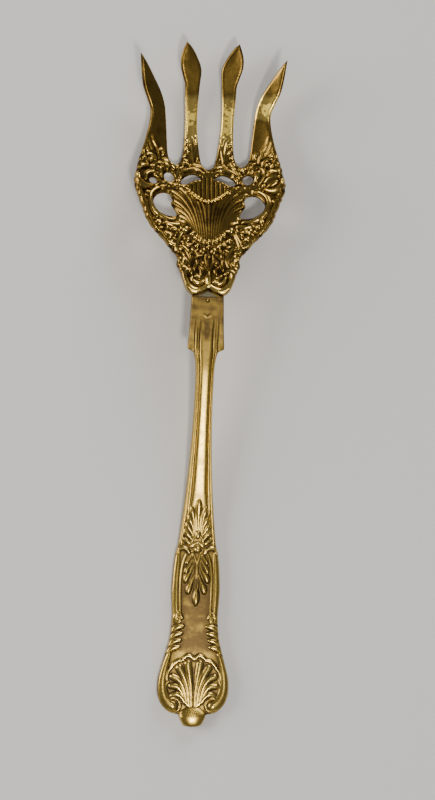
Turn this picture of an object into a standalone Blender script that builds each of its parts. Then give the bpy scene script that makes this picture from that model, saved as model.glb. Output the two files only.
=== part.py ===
"""Ornate brass serving fork: a flat, arched handle soldered under a pierced, dished head with splayed tines.

The fork lies face up along Y, handle end at -Y and tine tips at +Y. Its plan is drawn in millimetres: x across
the fork, and s along it from the handle's end. Each piece is a slab between two heights over that plan, laid
on one curved sheet: the side profile of the fork, plus the dish across the head.
"""

import math

import bmesh
import bpy
from mathutils import Vector
from mathutils.geometry import delaunay_2d_cdt

MM = 0.001

# Clear space between two pieces that touch, or that solder joins.
GAP = 0.3

# Handle, from its end towards the head.
HANDLE_LENGTH = 147.7  # from the handle's end to the step that the head's base meets
BUTTON_WIDTH = 9.2  # the plain boss at the very end
BUTTON_LENGTH = 4.4
SHELL_END_WIDTH = 24.6
SHELL_END_AT = 14.4
WAIST_WIDTH = 16.0
WAIST_AT = 37.5
BELLY_WIDTH = 16.8
BELLY_AT = 48.0
KNUCKLE_WIDTH = 14.8  # across the two small scrolls above the belly
KNUCKLE_AT = 60.0
STEM_WIDTH = 6.4
SHOULDER_WIDTH = 12.7
SHOULDER_LENGTH = 17.7  # from the shoulders' lower edge to the step
END_THICK = 3.2
STEM_THICK = 3.8
SHOULDER_THICK = 2.4
EDGE_THICK = 1.8  # at the handle's rim

# Tongue: the handle goes on under the head, milled down by a step.
TONGUE_WIDTH = 11.2
TONGUE_LENGTH = 11.0
TONGUE_CORNER = 3.6
TONGUE_THICK = 2.2
STEP_DEPTH = 1.0
SOLDER_WIDTH = 0.5  # the bead that runs round the tongue on the back
SOLDER_DEPTH = 0.9
POOL_THICK = 0.3  # the thin pool on the tongue, between the head's two base lobes
PIN_RADIUS = 0.45
PIN_GAP = 0.2
PIN_FROM_STEP = 1.0
PIN_PROUD = 0.25

# Head.
HEAD_WIDTH = 52.0
BODY_LENGTH = 44.8  # from the base lobes to the crotch between the two inner tines
TINE_LENGTH = 42.9  # from that crotch to the inner tines' tips
HEAD_FROM_STEP = 0.5
PLATE_THICK = 2.0
NECK_RISE = 1.4  # how far the base stands above the plate
NECK_LENGTH = 16.0
SHELL_RISE = 0.9  # the swell of the shell in the middle of the head

# Side profile.
REST_LENGTH = 18.0  # the back of the handle is flat this far, and the fork rests on it
RISE_FROM = 55.0  # the handle lies level up to here
APEX_LIFT = 11.3
LOW_FROM_TIPS = 36.0
TIP_RISE = 6.4
DISH_RADIUS = 46.0  # across the head
DISH_RUN = 32.0  # the dish deepens over this length, from the head's base

# Drawn size of the head's outline below, which HEAD_WIDTH, BODY_LENGTH and TINE_LENGTH stretch.
DRAWN_WIDTH, DRAWN_BODY, DRAWN_TINES = 52.0, 44.8, 42.9

# Right-hand edge of the head's body, from the cleft between the base lobes up to the outer tine's root.
BODY_EDGE = (
    (0.0, 2.0), (1.9, 1.1), (4.9, 0.0), (7.4, 1.6), (9.0, 5.1), (9.7, 7.4), (10.9, 10.4), (11.0, 13.4),
    (12.4, 15.0), (15.9, 19.1), (19.2, 22.6), (21.6, 26.0), (23.4, 30.8), (25.3, 35.8), (26.0, 39.1),
    (25.3, 43.1), (24.1, 48.0),
)
# Tine edges, measured up from the crotch line: outside, tip, then inside.
OUTER_TINE_OUTSIDE = ((22.4, 9.0), (21.1, 15.0), (20.9, 19.3), (22.0, 22.4), (23.7, 26.5), (24.6, 31.5))
OUTER_TINE_TIP = (25.2, 37.3)
OUTER_TINE_INSIDE = (
    (22.8, 34.3), (20.3, 30.4), (17.6, 25.8), (16.0, 21.4), (15.3, 16.0), (14.8, 10.0), (14.4, 5.3),
)
SLOT_BOTTOM = ((13.6, 2.6), (11.8, 1.1), (10.0, 2.3))
INNER_TINE_OUTSIDE = (
    (9.0, 5.0), (8.6, 10.0), (8.5, 17.0), (8.9, 24.0), (9.1, 28.8), (10.0, 31.8), (10.9, 35.3), (10.7, 38.8),
)
INNER_TINE_TIP = (9.2, 42.9)
INNER_TINE_INSIDE = (
    (7.2, 41.2), (4.9, 37.7), (3.5, 34.0), (3.8, 28.5), (4.2, 21.0), (4.15, 14.5), (3.5, 8.5), (2.8, 4.0),
    (1.9, 1.2), (0.0, 0.0),
)
# Piercings in the right half of the body, measured up from the base lobes.
SIDE_WINDOW = (
    (11.0, 27.8), (13.6, 27.5), (16.6, 28.4), (18.9, 30.4), (19.2, 32.7), (17.6, 34.8), (15.2, 35.6),
    (13.2, 35.0), (12.6, 33.4), (12.9, 31.8), (11.7, 30.0),
)
SCROLL_EYE, SCROLL_EYE_RADII = (13.8, 41.3), (1.55, 1.55)
OUTER_EYE, OUTER_EYE_RADII = (-19.4, 39.8), (1.15, 0.95)  # pierced on the left side only
ARCH_SLOT, ARCH_SLOT_RADIUS = ((4.4, 42.0), (9.0, 40.1)), 0.85

# How finely the plans are cut into facets.
EDGE_STEP = 1.3
CELL = 3.0

HEAD_AT = HANDLE_LENGTH + HEAD_FROM_STEP
CROTCH_AT = HEAD_AT + BODY_LENGTH
LENGTH = CROTCH_AT + TINE_LENGTH
SHOULDER_AT = HANDLE_LENGTH - SHOULDER_LENGTH
SEAT_TOP = TONGUE_THICK / 2 - STEP_DEPTH


# ---- the sheet that every piece is laid on ----


def ease(value, start, end):
    """0 before start and 1 after end, with a smooth rise between."""
    t = min(1.0, max(0.0, (value - start) / (end - start)))
    return t * t * (3 - 2 * t)


def sheet_height(x, s):
    """Height of the curved sheet over the plan, with the handle's end at 0."""
    low_at = LENGTH - LOW_FROM_TIPS
    profile = APEX_LIFT * (ease(s, RISE_FROM, HANDLE_LENGTH) - ease(s, HANDLE_LENGTH, low_at))
    # The thinner head hangs lower, so that it touches down together with the handle's end.
    profile -= (END_THICK - PLATE_THICK) / 2 * ease(s, HANDLE_LENGTH, low_at)
    tips = TIP_RISE * max(0.0, (s - low_at) / LOW_FROM_TIPS) ** 2
    across = min(abs(x), 0.9 * DISH_RADIUS)
    dish = DISH_RADIUS - math.sqrt(DISH_RADIUS**2 - across**2)
    return profile + tips + dish * ease(s, HEAD_AT, HEAD_AT + DISH_RUN)


def lay(x, s, height):
    """The point that stands this high above the sheet, square to it, in metres."""
    step = 0.05
    slope_x = (sheet_height(x + step, s) - sheet_height(x - step, s)) / (2 * step)
    slope_s = (sheet_height(x, s + step) - sheet_height(x, s - step)) / (2 * step)
    up = Vector((-slope_x, -slope_s, 1.0)).normalized()
    return (Vector((x, s, sheet_height(x, s))) + height * up) * MM


# ---- plan outlines ----


def smooth(points, closed=False):
    """Points along a Catmull-Rom curve through the given ones, about EDGE_STEP apart."""
    points = [Vector(p) for p in points]
    ends = (points[-1:], points[:1] + points[1:2]) if closed else (points[:1], points[-1:])
    run = ends[0] + points + ends[1]
    found = []
    for before, a, b, after in zip(run, run[1:], run[2:], run[3:]):
        steps = max(1, math.ceil((b - a).length / EDGE_STEP))
        out, into = (b - before) / 2, (after - a) / 2
        for i in range(steps):
            t = i / steps
            found.append(
                (2 * t**3 - 3 * t**2 + 1) * a
                + (t**3 - 2 * t**2 + t) * out
                + (3 * t**2 - 2 * t**3) * b
                + (t**3 - t**2) * into
            )
    return found if closed else found + [points[-1]]


def straight(a, b):
    """Points along a straight line, about EDGE_STEP apart."""
    a, b = Vector(a), Vector(b)
    steps = max(1, math.ceil((b - a).length / EDGE_STEP))
    return [a + (b - a) * (i / steps) for i in range(steps)] + [b]


def chain(*runs):
    """Runs of points joined end to end, each meeting the next at a sharp corner."""
    found = []
    for run in runs:
        for p in map(Vector, run):
            if not found or (p - found[-1]).length > 1e-4:
                found.append(p)
    return found


def both_sides(edge):
    """A closed outline from its right-hand edge, which runs up from one point on the centre line to another."""
    left = [Vector((-p.x, p.y)) for p in reversed(edge) if abs(p.x) > 1e-6]
    return edge + left


def ellipse(centre, radii, count=14):
    turns = [2 * math.pi * i / count for i in range(count)]
    return [Vector((centre[0] + radii[0] * math.cos(a), centre[1] + radii[1] * math.sin(a))) for a in turns]


def capsule(ends, radius, count=5):
    """The outline of a slot with round ends."""
    a, b = map(Vector, ends)
    lean = math.atan2(b.y - a.y, b.x - a.x)
    found = []
    for centre, start in ((b, lean - math.pi / 2), (a, lean + math.pi / 2)):
        for i in range(count + 1):
            angle = start + math.pi * i / count
            found.append(centre + radius * Vector((math.cos(angle), math.sin(angle))))
    return found


def tongue_edge(offset, start):
    """Right-hand edge of the tongue grown by offset, from s = start round its corner to the centre line."""
    centre = Vector((TONGUE_WIDTH / 2 - TONGUE_CORNER, HANDLE_LENGTH + TONGUE_LENGTH - TONGUE_CORNER))
    radius = TONGUE_CORNER + offset
    turns = [math.pi / 2 * i / 6 for i in range(7)]
    arc = [centre + radius * Vector((math.cos(a), math.sin(a))) for a in turns]
    side = straight((centre.x + radius, start), (centre.x + radius, centre.y))
    return chain(side, arc, straight((centre.x, centre.y + radius), (0, centre.y + radius)))


def handle_edge():
    """Right-hand edge of the handle, from the tip of the button to the end of the tongue."""
    button = smooth([(0, 0), (0.33 * BUTTON_WIDTH, 0.12 * BUTTON_LENGTH), (BUTTON_WIDTH / 2, 0.8 * BUTTON_LENGTH)])
    half, belly = SHELL_END_WIDTH / 2, BELLY_WIDTH / 2
    shell_end = smooth([
        (BUTTON_WIDTH / 2 + 0.3, BUTTON_LENGTH),
        (0.62 * half, BUTTON_LENGTH + 0.6),
        (0.83 * half, 0.53 * SHELL_END_AT),
        (0.96 * half, 0.77 * SHELL_END_AT),
        (half, SHELL_END_AT),
        (0.97 * half, SHELL_END_AT + 4.1),
        (0.79 * half, SHELL_END_AT + 11.6),
        (WAIST_WIDTH / 2 + 0.6, WAIST_AT - 7.0),
        (WAIST_WIDTH / 2, WAIST_AT),
        (belly - 0.1, BELLY_AT - 4.0),
        (belly, BELLY_AT),
        (KNUCKLE_WIDTH / 2 + 0.6, KNUCKLE_AT - 5.0),
        (KNUCKLE_WIDTH / 2, KNUCKLE_AT),
    ])
    half = STEM_WIDTH / 2
    run = SHOULDER_AT - KNUCKLE_AT
    stem = smooth([
        (KNUCKLE_WIDTH / 2 - 0.7, KNUCKLE_AT + 2.2),
        (half + 2.8, KNUCKLE_AT + 0.11 * run),
        (half + 1.6, KNUCKLE_AT + 0.28 * run),
        (half + 0.7, KNUCKLE_AT + 0.46 * run),
        (half + 0.1, KNUCKLE_AT + 0.66 * run),
        (half, KNUCKLE_AT + 0.82 * run),
        (half + 0.2, SHOULDER_AT - 5.0),
        (half + 1.0, SHOULDER_AT - 1.0),
    ])
    half = SHOULDER_WIDTH / 2
    shoulder = smooth([
        (half - 0.3, SHOULDER_AT),
        (half, SHOULDER_AT + 0.7),
        (half - 0.4, SHOULDER_AT + 7.0),
        (TONGUE_WIDTH / 2, HANDLE_LENGTH + GAP),
    ])
    return chain(button, shell_end, stem, shoulder, tongue_edge(0, HANDLE_LENGTH + GAP))


def on_body(point):
    """A drawn point of the head's body at its real place."""
    return Vector((point[0] * HEAD_WIDTH / DRAWN_WIDTH, HEAD_AT + point[1] * BODY_LENGTH / DRAWN_BODY))


def on_tines(point):
    return Vector((point[0] * HEAD_WIDTH / DRAWN_WIDTH, CROTCH_AT + point[1] * TINE_LENGTH / DRAWN_TINES))


def head_edge():
    """Right-hand edge of the head: up the outside, round both tines and down to the middle crotch."""
    body = [on_body(p) for p in BODY_EDGE]
    outside = [on_tines(p) for p in (*OUTER_TINE_OUTSIDE, OUTER_TINE_TIP)]
    between = (OUTER_TINE_TIP, *OUTER_TINE_INSIDE, *SLOT_BOTTOM, *INNER_TINE_OUTSIDE, INNER_TINE_TIP)
    inside = [on_tines(p) for p in (INNER_TINE_TIP, *INNER_TINE_INSIDE)]
    return chain(smooth(body + outside), smooth([on_tines(p) for p in between]), smooth(inside))


def head_holes():
    """Outlines of the piercings. All but the outer eye are on both sides."""
    window = smooth([on_body(p) for p in SIDE_WINDOW], closed=True)
    eye = ellipse(on_body(SCROLL_EYE), SCROLL_EYE_RADII)
    slot = capsule([on_body(p) for p in ARCH_SLOT], ARCH_SLOT_RADIUS)
    right = [window, eye, slot]
    left = [[Vector((-p.x, p.y)) for p in hole] for hole in right]
    return right + left + [ellipse(on_body(OUTER_EYE), OUTER_EYE_RADII, 10)]


# ---- solids ----


def inside(point, outline):
    """True if the point is inside the closed outline."""
    crossings = 0
    for a, b in zip(outline, outline[1:] + outline[:1]):
        if (a.y > point.y) != (b.y > point.y):
            crossings += point.x < a.x + (b.x - a.x) * (point.y - a.y) / (b.y - a.y)
    return crossings % 2 == 1


def distance(point, outline):
    """Distance from the point to the nearest of the outline's own points."""
    return min((point - p).length for p in outline)


def plan_facets(outline, holes):
    """The plan cut into triangles: (points, triangles, boundary loops as point numbers)."""
    points, loops = [], []
    for loop in [outline, *holes]:
        loops.append(list(range(len(points), len(points) + len(loop))))
        points += loop
    rim = list(points)
    columns = math.ceil(max(abs(p.x) for p in outline) / CELL)
    low, high = min(p.y for p in outline), max(p.y for p in outline)
    for row in range(1, math.ceil((high - low) / CELL)):
        for column in range(-columns, columns + 1):
            p = Vector((column * CELL, low + row * CELL))
            if inside(p, outline) and not any(inside(p, h) for h in holes) and distance(p, rim) > 0.45 * CELL:
                points.append(p)
    edges = [(a, b) for loop in loops for a, b in zip(loop, loop[1:] + loop[:1])]
    made, _, triangles, *_ = delaunay_2d_cdt(points, edges, [], 0, 1e-6)
    kept = []
    for triangle in triangles:
        middle = sum((made[i] for i in triangle), Vector((0, 0))) / 3
        if inside(middle, outline) and not any(inside(middle, h) for h in holes):
            kept.append(triangle)
    return made, kept, loops


def slab(name, outline, top, bottom, holes=()):
    """A closed solid over the plan, between the heights that top(x, s) and bottom(x, s) give."""
    points, triangles, loops = plan_facets(outline, list(holes))
    bm = bmesh.new()
    upper = [bm.verts.new(lay(p.x, p.y, top(p.x, p.y))) for p in points]
    lower = [bm.verts.new(lay(p.x, p.y, bottom(p.x, p.y))) for p in points]
    for triangle in triangles:
        bm.faces.new([upper[i] for i in triangle])
        bm.faces.new([lower[i] for i in reversed(triangle)])
    for loop in loops:
        for a, b in zip(loop, loop[1:] + loop[:1]):
            bm.faces.new([upper[a], upper[b], lower[b], lower[a]])
    bmesh.ops.recalc_face_normals(bm, faces=bm.faces)
    mesh = bpy.data.meshes.new(name)
    bm.to_mesh(mesh)
    bm.free()
    mesh.shade_smooth()
    mesh.set_sharp_from_angle(angle=math.radians(35))
    obj = bpy.data.objects.new(name, mesh)
    bpy.context.scene.collection.objects.link(obj)
    return obj


def level(height):
    """A height that is the same all over the plan."""
    return lambda x, s: height


def cut(obj, cutter):
    """Takes the cutter's shape out of obj."""
    cutter.hide_render = True
    cutter.display_type = "WIRE"
    modifier = obj.modifiers.new(cutter.name, "BOOLEAN")
    modifier.operation = "DIFFERENCE"
    modifier.object = cutter


def brass(name, colour, roughness):
    material = bpy.data.materials.new(name)
    material.use_nodes = True
    shader = material.node_tree.nodes["Principled BSDF"]
    shader.inputs["Base Color"].default_value = (*colour, 1.0)
    shader.inputs["Roughness"].default_value = roughness
    shader.inputs["Metallic"].default_value = 1.0
    return material


# ---- pieces ----


def handle_half_width(s, edge):
    """Half the handle's width at s, read off its edge."""
    widths = [p.x for p in edge if abs(p.y - s) < 1.5 * EDGE_STEP]
    return max(widths, default=TONGUE_WIDTH / 2)


def handle_thickness(s):
    """Thickness on the centre line: thick in the stem, thinner at the shoulders and the tongue."""
    stem = END_THICK + (STEM_THICK - END_THICK) * ease(s, BELLY_AT, SHOULDER_AT - 8)
    flat = stem + (SHOULDER_THICK - stem) * ease(s, SHOULDER_AT - 8, SHOULDER_AT + 6)
    return flat + (TONGUE_THICK - flat) * ease(s, SHOULDER_AT + 6, HANDLE_LENGTH - 2)


def make_handle():
    edge = handle_edge()

    def crown(x, s):
        """Half thickness: full over the middle, falling to the rim's."""
        middle = handle_thickness(s) / 2
        rim = min(EDGE_THICK / 2, middle)
        share = min(1.0, abs(x) / handle_half_width(s, edge))
        # From the shoulders on, the strap is flat right across.
        swell = 1 - share**4 * (1 - ease(s, SHOULDER_AT, SHOULDER_AT + 6))
        return rim + (middle - rim) * swell

    def back(x, s):
        """The back is flat where the fork rests on it, and crowned like the front along the stem."""
        flat = END_THICK / 2
        return -(flat + (crown(x, s) - flat) * ease(s, REST_LENGTH, BELLY_AT))

    handle = slab("handle", both_sides(edge), crown, back)
    corner = Vector((TONGUE_WIDTH, HANDLE_LENGTH))
    beyond = Vector((TONGUE_WIDTH, HANDLE_LENGTH + 1.5 * TONGUE_LENGTH))
    over = both_sides(chain(
        straight((0, corner.y), corner),
        straight(corner, beyond),
        straight(beyond, (0, beyond.y)),
    ))
    cut(handle, slab("milled_step", over, level(2 * TONGUE_THICK), level(SEAT_TOP)))
    cut(handle, make_pin("pin_hole", PIN_RADIUS + PIN_GAP, TONGUE_THICK))
    return handle


def make_pin(name, radius, reach):
    """A round pin through the tongue at the step, standing square to the sheet."""
    centre = (0.0, HANDLE_LENGTH - PIN_FROM_STEP)
    return slab(name, ellipse(centre, (radius, radius), 16), level(reach), level(-reach))


def make_locating_pin():
    return make_pin("locating_pin", PIN_RADIUS, TONGUE_THICK / 2 + PIN_PROUD)


def make_head():
    reach = TONGUE_WIDTH / 2 + 2 * GAP + SOLDER_WIDTH

    def face(x, s):
        """The plate's upper face, with the thick base and the shell's swell on it."""
        neck = NECK_RISE * (1 - ease(s, HEAD_AT + 0.4 * NECK_LENGTH, HEAD_AT + NECK_LENGTH))
        from_shell = math.hypot(x, s - (HEAD_AT + 0.62 * BODY_LENGTH))
        return PLATE_THICK / 2 + neck + SHELL_RISE * (1 - ease(from_shell, 0, 0.28 * HEAD_WIDTH))

    head = slab("head", both_sides(head_edge()), face, level(-PLATE_THICK / 2), head_holes())
    start = HEAD_AT - 3
    side = tongue_edge(reach - TONGUE_WIDTH / 2, start)
    seat = both_sides(chain(straight((0, start), side[0]), side))
    cut(head, slab("tongue_recess", seat, level(SEAT_TOP + GAP), level(-2 * PLATE_THICK)))
    return head


def make_solder_bead():
    """The bead in the gap round the tongue, on the back of the head."""
    start = HEAD_AT + 3.0
    outer = tongue_edge(GAP + SOLDER_WIDTH, start)
    inner = tongue_edge(GAP, start)
    mirrored = [Vector((-p.x, p.y)) for p in reversed(outer[:-1])]
    back_again = inner[:-1] + [inner[-1]] + [Vector((-p.x, p.y)) for p in reversed(inner[:-1])]
    outline = outer + mirrored + list(reversed(back_again))
    low = -TONGUE_THICK / 2
    return slab("solder_bead", outline, level(low + SOLDER_DEPTH), level(low))


def make_solder_pool():
    """The pool that shows on the tongue in the cleft between the head's base lobes."""
    cleft = [on_body(p) for p in BODY_EDGE[:3]]
    start = HANDLE_LENGTH + GAP
    edge = [Vector((0, start)), Vector((0.66 * cleft[2].x, start))]
    edge += [Vector((0.8 * p.x, p.y - 1.6 * GAP)) for p in reversed(cleft[:2])]
    return slab("solder_pool", both_sides(edge), level(SEAT_TOP + GAP + POOL_THICK), level(SEAT_TOP + GAP))


def stand(pieces):
    """Moves the fork so that it rests on Z = 0, centred on X and Y."""
    bpy.context.view_layer.update()
    graph = bpy.context.evaluated_depsgraph_get()
    corners = []
    for piece in pieces:
        corners += [Vector(c) for c in piece.evaluated_get(graph).bound_box]
    low = Vector(min(c[i] for c in corners) for i in range(3))
    high = Vector(max(c[i] for c in corners) for i in range(3))
    fork = bpy.data.objects.new("fork", None)
    bpy.context.scene.collection.objects.link(fork)
    fork.location = (-(low.x + high.x) / 2, -(low.y + high.y) / 2, -low.z)
    for obj in bpy.context.scene.objects:
        if obj.type == "MESH":
            obj.parent = fork


def main():
    for obj in list(bpy.data.objects):
        bpy.data.objects.remove(obj, do_unlink=True)
    handle_brass = brass("handle_brass", (0.60, 0.46, 0.19), 0.30)
    head_brass = brass("head_brass", (0.42, 0.27, 0.06), 0.25)
    solder = brass("solder", (0.30, 0.27, 0.17), 0.45)
    finishes = {
        make_handle(): handle_brass,
        make_head(): head_brass,
        make_locating_pin(): handle_brass,
        make_solder_bead(): solder,
        make_solder_pool(): solder,
    }
    for piece, material in finishes.items():
        piece.data.materials.append(material)
    stand(finishes)


main()
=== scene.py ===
"""Looks of an ornate brass serving fork: a struck handle under a pierced, cast head.

Both pieces are drawn flat, in millimetres: x across the fork, and s along it from the handle's end. Their
relief is worked up as heights over that plan, and a node tree then lays the flat piece on the fork's curved
sheet, which is its side profile plus the dish across the head.
"""

import math

import bpy
import numpy as np
from mathutils import Matrix, Vector
from mathutils.geometry import delaunay_2d_cdt
from mathutils.kdtree import KDTree


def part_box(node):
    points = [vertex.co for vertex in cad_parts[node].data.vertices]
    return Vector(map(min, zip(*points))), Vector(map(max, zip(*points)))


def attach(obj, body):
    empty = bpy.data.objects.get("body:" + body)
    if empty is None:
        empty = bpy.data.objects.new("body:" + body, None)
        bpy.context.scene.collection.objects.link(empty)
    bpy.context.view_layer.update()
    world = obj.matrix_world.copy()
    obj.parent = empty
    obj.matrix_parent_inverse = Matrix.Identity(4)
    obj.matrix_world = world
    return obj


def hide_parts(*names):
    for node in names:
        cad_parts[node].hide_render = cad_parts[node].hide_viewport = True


bl_info = {
    "name": "Ornate serving fork",
    "version": (1, 0, 0),
    "blender": (4, 5, 0),
    "location": "View3D > Sidebar > Fork",
    "description": "Builds a pierced brass serving fork in relief",
    "category": "Object",
}

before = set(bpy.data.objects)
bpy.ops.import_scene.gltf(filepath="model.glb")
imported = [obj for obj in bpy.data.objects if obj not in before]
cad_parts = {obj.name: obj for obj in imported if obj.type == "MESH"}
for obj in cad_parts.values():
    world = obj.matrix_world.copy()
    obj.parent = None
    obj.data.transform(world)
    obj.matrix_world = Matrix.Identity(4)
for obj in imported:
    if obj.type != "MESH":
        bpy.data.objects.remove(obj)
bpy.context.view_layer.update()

MM = 0.001

# The head's plan is drawn this wide, with a body and tines of these lengths, and is stretched to the frame.
DRAWN_WIDTH, BODY_LENGTH, DRAWN_TINES = 53.1, 44.8, 42.9
# The gap between the handle's step and the head, and the length of the flat strap from the shoulders to it.
SEAM, STRAP_LENGTH = 0.5, 17.7

# ---- places that come from the frame, in millimetres ----

HANDLE_BOX, HEAD_BOX, PIN_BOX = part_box("handle"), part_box("head"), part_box("locating_pin")
END_Y = HANDLE_BOX[0][1] / MM
HEAD_AT = HEAD_BOX[0][1] / MM - END_Y
LENGTH = HEAD_BOX[1][1] / MM - END_Y
TONGUE_END = HANDLE_BOX[1][1] / MM - END_Y
HEAD_STRETCH = (HEAD_BOX[1][0] - HEAD_BOX[0][0]) / MM / DRAWN_WIDTH
CROTCH_AT = HEAD_AT + BODY_LENGTH
TINE_STRETCH = (LENGTH - CROTCH_AT) / DRAWN_TINES
STEP_AT = HEAD_AT - SEAM
SHOULDER_AT = STEP_AT - STRAP_LENGTH
PIN_AT = (PIN_BOX[0][1] + PIN_BOX[1][1]) / 2 / MM - END_Y
PIN_RADIUS = (PIN_BOX[1][0] - PIN_BOX[0][0]) / 2 / MM

# ---- thicknesses and heights ----

# Half thicknesses of the handle's end, stem, shoulders and rim, and of the head's plate.
END_HALF, STEM_HALF, SHOULDER_HALF, RIM_HALF, PLATE_HALF = 1.6, 1.9, 1.2, 0.9, 1.0
# The ornament stands on a ground this far below the plain face.
SUNK = 0.35
# Heights from the sheet of the tongue's top, and of the head's roof and middle over it.
SEAT_TOP, ROOF, ROOF_MIDDLE = 0.1, 0.4, 0.75
# Radii of the rounded edges: the head's, the handle's face and its back.
HEAD_EDGE, FACE_EDGE, BACK_EDGE = 0.55, 0.5, 0.6
# The sheet's side profile: a rise to the shoulders, a fall to the tines and lifted tips; and the head's dish.
APEX_LIFT = (PIN_BOX[0][2] + PIN_BOX[1][2]) / 2 / MM - END_HALF
RISE_FROM = 55.0
LOW_AT = LENGTH - 36.0
HEAD_DROP = END_HALF - PLATE_HALF
TIP_RISE = 6.4
DISH_RADIUS, DISH_RUN = 46.0, 32.0

# ---- plans: the right-hand edge of each piece ----

HANDLE_RUNS = (
    ((0, 0), (3.0, 0.5), (4.6, 3.5)),
    (
        (4.9, 4.4), (7.8, 4.9), (10.6, 7.2), (12.0, 10.2), (12.4, 13.2), (12.0, 17.6), (9.7, 26.0),
        (8.6, 30.5), (8.0, 37.5), (8.3, 44.0), (8.4, 48.0), (8.0, 55.0), (7.4, 60.0),
    ),
    (
        (6.7, 62.2), (6.0, 67.7), (4.8, 79.6), (3.9, 92.2), (3.3, 106.2), (3.2, 117.4), (3.4, 125.0),
        (4.2, 129.0),
    ),
    ((6.05, 130.0), (6.35, 130.7), (5.95, 137.0), (5.6, 147.7)),
)
TONGUE_HALF_WIDTH, TONGUE_CORNER = 5.6, 3.6

BODY_EDGE = (
    (0.0, 2.0), (1.9, 1.1), (4.9, 0.0), (7.4, 1.6), (9.0, 5.1), (9.7, 7.4), (10.9, 10.4), (11.0, 13.4),
    (12.4, 15.0), (15.9, 19.1), (19.2, 22.6), (21.6, 26.0), (23.4, 30.8), (25.3, 35.8), (26.0, 39.1),
    (25.3, 43.1), (24.1, 48.0),
)
OUTER_TINE_OUTSIDE = (
    (22.4, 9.0), (21.1, 15.0), (20.9, 19.3), (22.0, 22.4), (23.7, 26.5), (24.6, 31.5), (25.2, 37.3),
)
BETWEEN_TINES = (
    (25.2, 37.3), (22.8, 34.3), (20.3, 30.4), (17.6, 25.8), (16.0, 21.4), (15.3, 16.0), (14.8, 10.0),
    (14.4, 5.3), (13.6, 2.6), (11.8, 1.1), (10.0, 2.3), (9.0, 5.0), (8.6, 10.0), (8.5, 17.0), (8.9, 24.0),
    (9.1, 28.8), (10.0, 31.8), (10.9, 35.3), (10.7, 38.8), (9.2, 42.9),
)
INNER_TINE_INSIDE = (
    (9.2, 42.9), (7.2, 41.2), (4.9, 37.7), (3.5, 34.0), (3.8, 28.5), (4.2, 21.0), (4.15, 14.5), (3.5, 8.5),
    (2.8, 4.0), (1.9, 1.2), (0.0, 0.0),
)
# Piercings, measured up from the base lobes.
SIDE_WINDOW = (
    (11.0, 27.8), (13.6, 27.5), (16.6, 28.4), (18.9, 30.4), (19.2, 32.7), (17.6, 34.8), (15.2, 35.6),
    (13.2, 35.0), (12.6, 33.4), (12.9, 31.8), (11.7, 30.0),
)
ARCH_WINDOW = (
    (2.4, 41.6), (3.9, 42.6), (5.6, 42.8), (7.6, 42.0), (9.2, 40.6), (9.5, 39.6), (8.4, 39.0), (6.8, 39.6),
    (5.2, 40.6), (3.6, 40.9),
)
# Round piercings: (centre, radii).
SCROLL_EYE = ((13.8, 41.3), (1.8, 1.7))
OUTER_EYE = ((19.4, 39.6), (1.45, 1.1))

# ---- places on the head's face ----

# The lip between the two shells: (x, s, half width) rows.
LIP = ((0, 181.1, 0.42), (1.5, 181.3, 0.42), (3.2, 182.1, 0.42), (5.0, 183.2, 0.42), (7.2, 185.0, 0.42))
# The height of the centres of its beads.
LIP_BEAD_HEIGHT = 1.3
# The hollow middle of the large shell, and the painted highlights on the tines: (s, reach).
SHELL_HOLLOW, INNER_TINE_HIGHLIGHT, RIGHT_TINE_HIGHLIGHT = (178.0, 8.0), (210.0, 6.2), (214.6, 3.4)
# How far above the crotches the leaves at the roots of the tines need the fine grid.
LEAF_REACH = 14.0

# The patina guide is high on what stands proud and low in hollows. These parts have one value throughout.
BACK_GUIDE, BEAD_GUIDE, PIN_GUIDE = -0.02, 0.3, 0.05


# ---- plane geometry on arrays ----


def ease(value, start, end):
    """0 before start and 1 after end, with a smooth rise between."""
    t = np.clip((value - start) / (end - start), 0.0, 1.0)
    return t * t * (3 - 2 * t)


def mound(value, middle, reach):
    """1 at the middle, falling to 0 over about this reach on each side."""
    return np.exp(-((value - middle) / reach)**2)


def bar(value, middle, reach):
    """The height of a half-round bar of this half width, as a share."""
    return np.sqrt(np.clip(1 - ((value - middle) / reach)**2, 0, 1))


def rounded(depth, radius):
    """A quarter-round edge: 0 on the rim, and 1 from this radius inwards."""
    return np.sqrt(1 - (1 - np.clip(depth / radius, 0, 1))**2)


def curve(points, step=0.35, closed=False):
    """Rows along a smooth curve through the given rows, about step apart. Further columns ride along."""
    rows = np.array(points, float)
    run = np.vstack([rows[-1:], rows, rows[:2]]) if closed else np.vstack([rows[:1], rows, rows[-1:]])
    found = []
    for before, a, b, after in zip(run, run[1:], run[2:], run[3:]):
        steps = max(1, math.ceil(np.linalg.norm((b - a)[:2]) / step))
        t = (np.arange(steps) / steps)[:, None]
        out, into = (b - before) / 2, (after - a) / 2
        found.append(
            (2 * t**3 - 3 * t**2 + 1) * a
            + (t**3 - 2 * t**2 + t) * out
            + (3 * t**2 - 2 * t**3) * b
            + (t**3 - t**2) * into
        )
    if not closed:
        found.append(rows[-1:])
    return np.vstack(found)


def joined(*runs):
    """Runs of rows end to end, without the rows that repeat."""
    rows = np.vstack(runs)
    keep = np.append(True, np.linalg.norm(np.diff(rows, axis=0), axis=1) > 1e-3)
    return rows[keep]


def both_sides(edge):
    """A closed outline, counter-clockwise, from a right-hand edge that starts and ends on the centre line."""
    left = edge[::-1] * (-1, 1)
    return np.vstack([edge, left[np.abs(left[:, 0]) > 1e-6]])


def ellipse(centre, radii, count):
    """A closed oval, counter-clockwise."""
    turns = np.linspace(0, 2 * math.pi, count, endpoint=False)
    return np.stack([centre[0] + radii[0] * np.cos(turns), centre[1] + radii[1] * np.sin(turns)], axis=1)


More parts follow.
